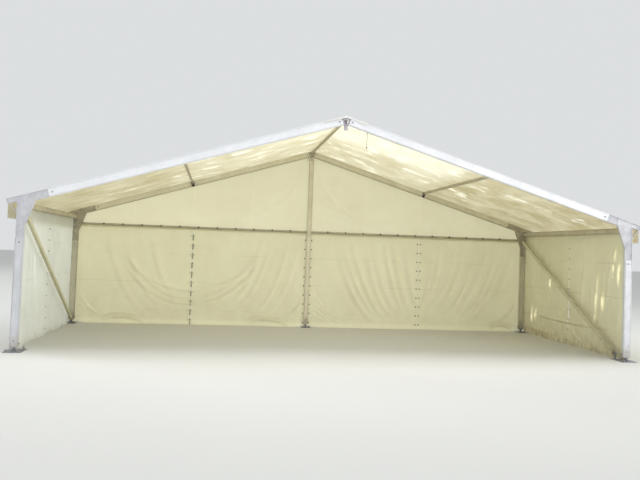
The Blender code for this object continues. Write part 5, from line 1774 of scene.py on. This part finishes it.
ties = [
    ((side * (FIRST_TIE + TIE_PITCH * k), HALF_BAY, TRANSOM_HEIGHT), (1, 0, 0))
    for side in (LEFT, RIGHT) for k in range(TIES_A_SIDE)
]
assemble("transom_ball_ties", {TIE_FINISH: [grown(tie_tree, ties)]}, "steel_fittings", shade=SMALL_SHADE)


# Bolts and pins
# Hexagon heads on washers hold the knees, the ridge connectors and the feet in the profiles. Headed pins
# hold the purlins in their shoes and the braces on their lugs.

BOLT_ACROSS = 0.024
BOLT_HEAD = 0.010
WASHER_RADIUS = 0.0165
WASHER_THICK = 0.0025
THREAD_SHARE = 0.31
THREAD_STANDS = 0.8
HEAD_SIDES, WASHER_SIDES, THREAD_SIDES = 6, 20, 12
SMALL_BOLT = {"Across": 0.017, "Head": 0.008, "Washer": 0.012, "Washer thickness": 0.002}
BOLT_SHADE = math.radians(25)
LEG_BOLTS = (0.165, LEG_TOP - 0.060)
RAFTER_BOLTS = (0.13, SLOPE_LENGTH - 0.51)
FOOT_BOLT = 0.12
UPRIGHT_BOLTS = (FOOT_BOLT, 0.17, upright_high.z - 0.030, upright_high.z - 0.065)
TRANSOM_BOLT = 0.035
PIN_OVER_SHOE = 0.014
BOLT_STEEL = galvanised_steel(
    "bolt_steel", (0.38, 0.37, 0.36), (0.20, 0.19, 0.18), (0.22, 0.12, 0.06), 0.55, 0.42
)

bolt_sizes = {
    "Across": BOLT_ACROSS, "Head": BOLT_HEAD, "Washer": WASHER_RADIUS, "Washer thickness": WASHER_THICK,
}
bolt_tree, points, across, head, washer, washer_thick = sized_tree("bolt_head", **bolt_sizes)
half_head = bolt_tree.times(head, 0.5)
head_rise = bolt_tree.plus(washer_thick, half_head)
thread_rise = bolt_tree.plus(head_rise, bolt_tree.times(half_head, THREAD_STANDS))
bolt_parts = []
for sides, radius, depth, rise in (
    (HEAD_SIDES, bolt_tree.times(across, 0.5 / math.cos(math.radians(30))), head, head_rise),
    (WASHER_SIDES, washer, washer_thick, bolt_tree.times(washer_thick, 0.5)),
    (THREAD_SIDES, bolt_tree.times(across, THREAD_SHARE), head, thread_rise),
):
    turned = {"Vertices": sides, "Radius": radius, "Depth": depth}
    cylinder = bolt_tree.add("GeometryNodeMeshCylinder", turned).outputs["Mesh"]
    away = bolt_tree.add("ShaderNodeCombineXYZ", {"Z": rise}).outputs[0]
    moved = {"Geometry": cylinder, "Translation": away}
    bolt_parts.append(bolt_tree.add("GeometryNodeTransform", moved).outputs[0])
scattered(bolt_tree, points, joined_in_tree(bolt_tree, bolt_parts), BOLT_STEEL, math.tau)

large_bolts, small_bolts, portal_bolts = [], [], []
eave_face, shoe_face = EAVE_PURLIN_WIDTH / 2 + SHOE_PLATE, PURLIN_SIZE / 2 + SHOE_PLATE
pin_height = EAVE_PURLIN_HEIGHT - EAVE_PURLIN_DEPTH / 2 + PIN_OVER_SHOE
for end, side in CORNERS:
    for face in (-1, 1):
        y = end * HALF_BAY + face * PROFILE_WIDTH / 2
        portal_bolts += [((side * LEG_CENTRE, y, height), (0, face, 0)) for height in LEG_BOLTS]
        for along in RAFTER_BOLTS:
            x, z = roof_point(side, along, PROFILE_DEPTH / 2)
            portal_bolts.append(((x, y, z), (0, face, 0)))
    large_bolts.append(((side * (LEG_CENTRE - PROFILE_DEPTH / 2), end * HALF_BAY, FOOT_BOLT), (-side, 0, 0)))
    knee_shoe_y = end * (HALF_BAY - KNEE_WIDTH / 2 - SHOE_BACK - SHOE_LENGTH / 2)
    rafter_shoe_y = end * (HALF_BAY - PROFILE_WIDTH / 2 - SHOE_BACK - SHOE_LENGTH / 2)
    for s in (-1, 1):
        small_bolts.append(((side * LEG_CENTRE + s * eave_face, knee_shoe_y, pin_height), (s, 0, 0)))
    x, z = roof_point(side, MIDDLE_PURLIN_ALONG, PURLIN_DEPTH + PURLIN_SIZE - PIN_OVER_SHOE)
    for s in (-1, 1):
        facing = (s * math.cos(ROOF_PITCH), 0, -s * side * math.sin(ROOF_PITCH))
        pin = (x + facing[0] * shoe_face, rafter_shoe_y, z + facing[2] * shoe_face)
        small_bolts.append((pin, facing))
for height in UPRIGHT_BOLTS:
    small_bolts += [((0, HALF_BAY + face * UPRIGHT_WIDTH / 2, height), (0, face, 0)) for face in (-1, 1)]
for side in (LEFT, RIGHT):
    knee_face_x = knee_inner_face_at(TRANSOM_HEIGHT, knee_points(side))
    for x in (UPRIGHT_DEPTH / 2 + TRANSOM_BOLT, knee_face_x - TRANSOM_BOLT):
        small_bolts.append(((side * x, HALF_BAY - TRANSOM_RADIUS, TRANSOM_HEIGHT), TOWARDS_FRONT))
for x, y, z in brace_bolts:
    outwards = 1 if x > 0 else -1
    large_bolts += [((x + s * LUG_PLATE, y, z), (s, 0, 0)) for s in (outwards, -outwards)]
bolts = [grown(bolt_tree, large_bolts)]
bolts += [grown(bolt_tree, spots, **SMALL_BOLT) for spots in (small_bolts, portal_bolts)]
assemble("frame_bolts", {BOLT_STEEL: bolts}, "steel_fittings", shade=BOLT_SHADE)


# Knobs, eyes and the ring on the rear frame
# A round hand knob clamps each middle purlin's shoe to the rear rafters. A small wire eye and a ring hang
# under the rear left rafter near the ridge, for tying things up.

KNOB_RADIUS = 0.027
KNOB_THICK = 0.020
KNOB_DOWN = 0.112
KNOB_STEM = 0.009
KNOB_STAND = 0.010
KNOB_OUTLINE = [
    (0, 0), (KNOB_STEM, 0), (KNOB_STEM, KNOB_STAND), (KNOB_RADIUS - 0.004, KNOB_STAND), (KNOB_RADIUS, 0.014),
    (KNOB_RADIUS, 0.006 + KNOB_THICK), (KNOB_RADIUS - 0.005, 0.011 + KNOB_THICK), (0, 0.012 + KNOB_THICK),
]
KNOB_SIDES = 24
EYE_ALONG = 0.125
EYE_FORWARD = 0.022
EYE_RADIUS = 0.011
EYE_WIRE = 0.0028
RING_RADIUS = 0.030
RING_DOWN = 0.004
RING_FACING = (0.5, -1, 0)
HARDWARE_SHADE = math.radians(50)


def turned_profile(outline, matrix, sides):
    """A shape turned about its own z from (radius, height) points that start and end on the axis"""
    shape = bmesh.new()
    rings = [
        [shape.verts.new((x, y, height)) for x, y in ring_of(radius, sides if radius else 1)]
        for radius, height in outline
    ]
    for lower, upper in zip(rings, rings[1:]):
        for i in range(sides):
            j = (i + 1) % sides
            corners = [ring[k % len(ring)] for ring, k in ((lower, i), (lower, j), (upper, j), (upper, i))]
            shape.faces.new(list(dict.fromkeys(corners)))
    bmesh.ops.recalc_face_normals(shape, faces=shape.faces)
    mesh = mesh_of(shape)
    mesh.transform(matrix)
    return mesh


def wire_ring(place, facing, radius=EYE_RADIUS):
    """A closed ring of round wire"""
    return grown(eyelet_tree, [(place, facing)], Radius=radius, Wire=EYE_WIRE)


rear_inner_face = HALF_BAY - PROFILE_WIDTH / 2 - SHOE_BACK
knobs = []
for side in (LEFT, RIGHT):
    x, z = roof_point(side, MIDDLE_PURLIN_ALONG, KNOB_DOWN)
    knobs.append(turned_profile(KNOB_OUTLINE, axes_at((x, rear_inner_face, z), *IN_FRAME), KNOB_SIDES))
eye_x, eye_z = roof_point(LEFT, EYE_ALONG, PROFILE_DEPTH + EYE_RADIUS)
ring_z = eye_z - RING_RADIUS - RING_DOWN
rings = [
    wire_ring((eye_x, HALF_BAY - EYE_FORWARD, eye_z), (1, 0, 0)),
    wire_ring((eye_x, HALF_BAY - EYE_FORWARD, ring_z), RING_FACING, RING_RADIUS),
]
hardware = {TIE_FINISH: knobs, BOLT_STEEL: rings}
assemble("rear_frame_hardware", hardware, "steel_fittings", shade=HARDWARE_SHADE)


# Hanging line
# A short limp line hangs from an eye under the front right rafter and ends in a knot.

LINE_THICK = 0.005
LINE_LENGTH = 0.225
LINE_POINTS = 24
LINE_SWAY = 0.004
LINE_SWAYS = 2.2
LINE_END = 0.999
LINE_KNOT = 0.0120
EYE_UP = 0.002
LINE_ON_EYE = 0.001
LINE_X, LINE_Y = 0.357, -HALF_BAY + 0.020
LINE_FINISH = dark_cord("hanging_line_rope", (0.10, 0.10, 0.09), (0.24, 0.23, 0.20))

line_eye_z = roof_top_at(LINE_X) - PROFILE_DEPTH / math.cos(ROOF_PITCH) - EYE_RADIUS + EYE_UP
line_top = Vector((LINE_X, LINE_Y, line_eye_z - EYE_RADIUS + LINE_ON_EYE))
line_spots = []
for i in range(LINE_POINTS):
    fall = i / (LINE_POINTS - 1)
    sway = LINE_SWAY * math.sin(LINE_SWAYS * math.pi * fall)
    line_spots.append(line_top + Vector((sway, 0.3 * sway, -LINE_LENGTH * fall * LINE_END)))
line_curve = round_line("hanging_line", LINE_THICK / 2, 3, line_spots)
line_curve.materials.append(LINE_FINISH)
hanging_line = put_in_scene("hanging_line", line_curve)
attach(hanging_line, "root")
knot_mesh = grown(knot_tree, [(line_top - Vector((0, 0, LINE_LENGTH)), TOWARDS_FRONT)], Radius=LINE_KNOT)
line_knot = assemble("hanging_line_knot", {LINE_FINISH: [knot_mesh]}, "wall_cloth", shade=SMALL_SHADE)
line_eye = wire_ring((LINE_X, LINE_Y, line_eye_z), TOWARDS_FRONT)
assemble("hanging_line_eye", {BOLT_STEEL: [line_eye]}, "steel_fittings", shade=SMALL_SHADE)


# Front ridge cover
# A folded strip of white cloth lies over the front ridge connector and the rafters' upper ends, with a
# short skirt down the front that hides the top of the steel.

COVER_HALF = 0.36
COVER_BACK = 0.078
COVER_SKIRT = 0.028
COVER_CLEAR = 0.0025
COVER_TURN = 0.003
COVER_RIDGE_ROUND = 0.006
COVER_WAVE = 0.004
COVER_SOIL = 0.2
COVER_CLOTH = coated_cloth(
    "cover_coated_cloth", (0.93, 0.93, 0.92), (0.80, 0.79, 0.76), (0.46, 0.42, 0.34), (1.0, 0.96, 0.84), 0.20,
    0.1, crumpled=0,
)

face_y = -(HALF_BAY + PROFILE_WIDTH / 2 + COVER_CLEAR)
cover_lines = [(face_y + COVER_BACK * (1 - k / 9), 0.0) for k in range(9)]
cover_lines += [
    (face_y + COVER_TURN, 0.0), (face_y + 0.3 * COVER_TURN, -0.3 * COVER_TURN), (face_y, -COVER_TURN),
]
cover_lines += [(face_y - COVER_CLEAR * (k / 5) ** 2, -COVER_TURN - COVER_SKIRT * k / 5) for k in range(1, 6)]
across_at, line_at = np.meshgrid(
    np.linspace(-COVER_HALF, COVER_HALF, 61), np.arange(len(cover_lines)), indexing="ij"
)
line_y_at, line_z_at = (np.array([p[i] for p in cover_lines])[line_at] for i in (0, 1))
rounded = np.sqrt(across_at ** 2 + COVER_RIDGE_ROUND ** 2)
cover_top = RIDGE_HEIGHT + COVER_CLEAR - rounded * math.tan(ROOF_PITCH)
skirt_wave = COVER_WAVE * cloud(across_at, line_z_at, 0.10, 0.5, 301) * (-line_z_at / COVER_SKIRT)
walked = np.concatenate(([0], np.cumsum([math.dist(a, b) for a, b in zip(cover_lines, cover_lines[1:])])))
facing_front = np.clip(-line_z_at / 0.002, 0, 1)
cover_outward = np.stack([np.zeros_like(facing_front), -facing_front, 1 - facing_front], -1)
cover_outward /= np.linalg.norm(cover_outward, axis=-1, keepdims=True)
cover_mesh = closed_sheet(
    np.stack([across_at, line_y_at - np.abs(skirt_wave), cover_top + line_z_at], -1), cover_outward,
    np.full(across_at.shape, CLOTH), across_at + COVER_HALF, walked[line_at],
    {"soil": np.full(across_at.shape, COVER_SOIL)},
)
cover = assemble("front_ridge_cover", {COVER_CLOTH: [cover_mesh]}, "roof_cloth", shade=PANEL_SHADE)
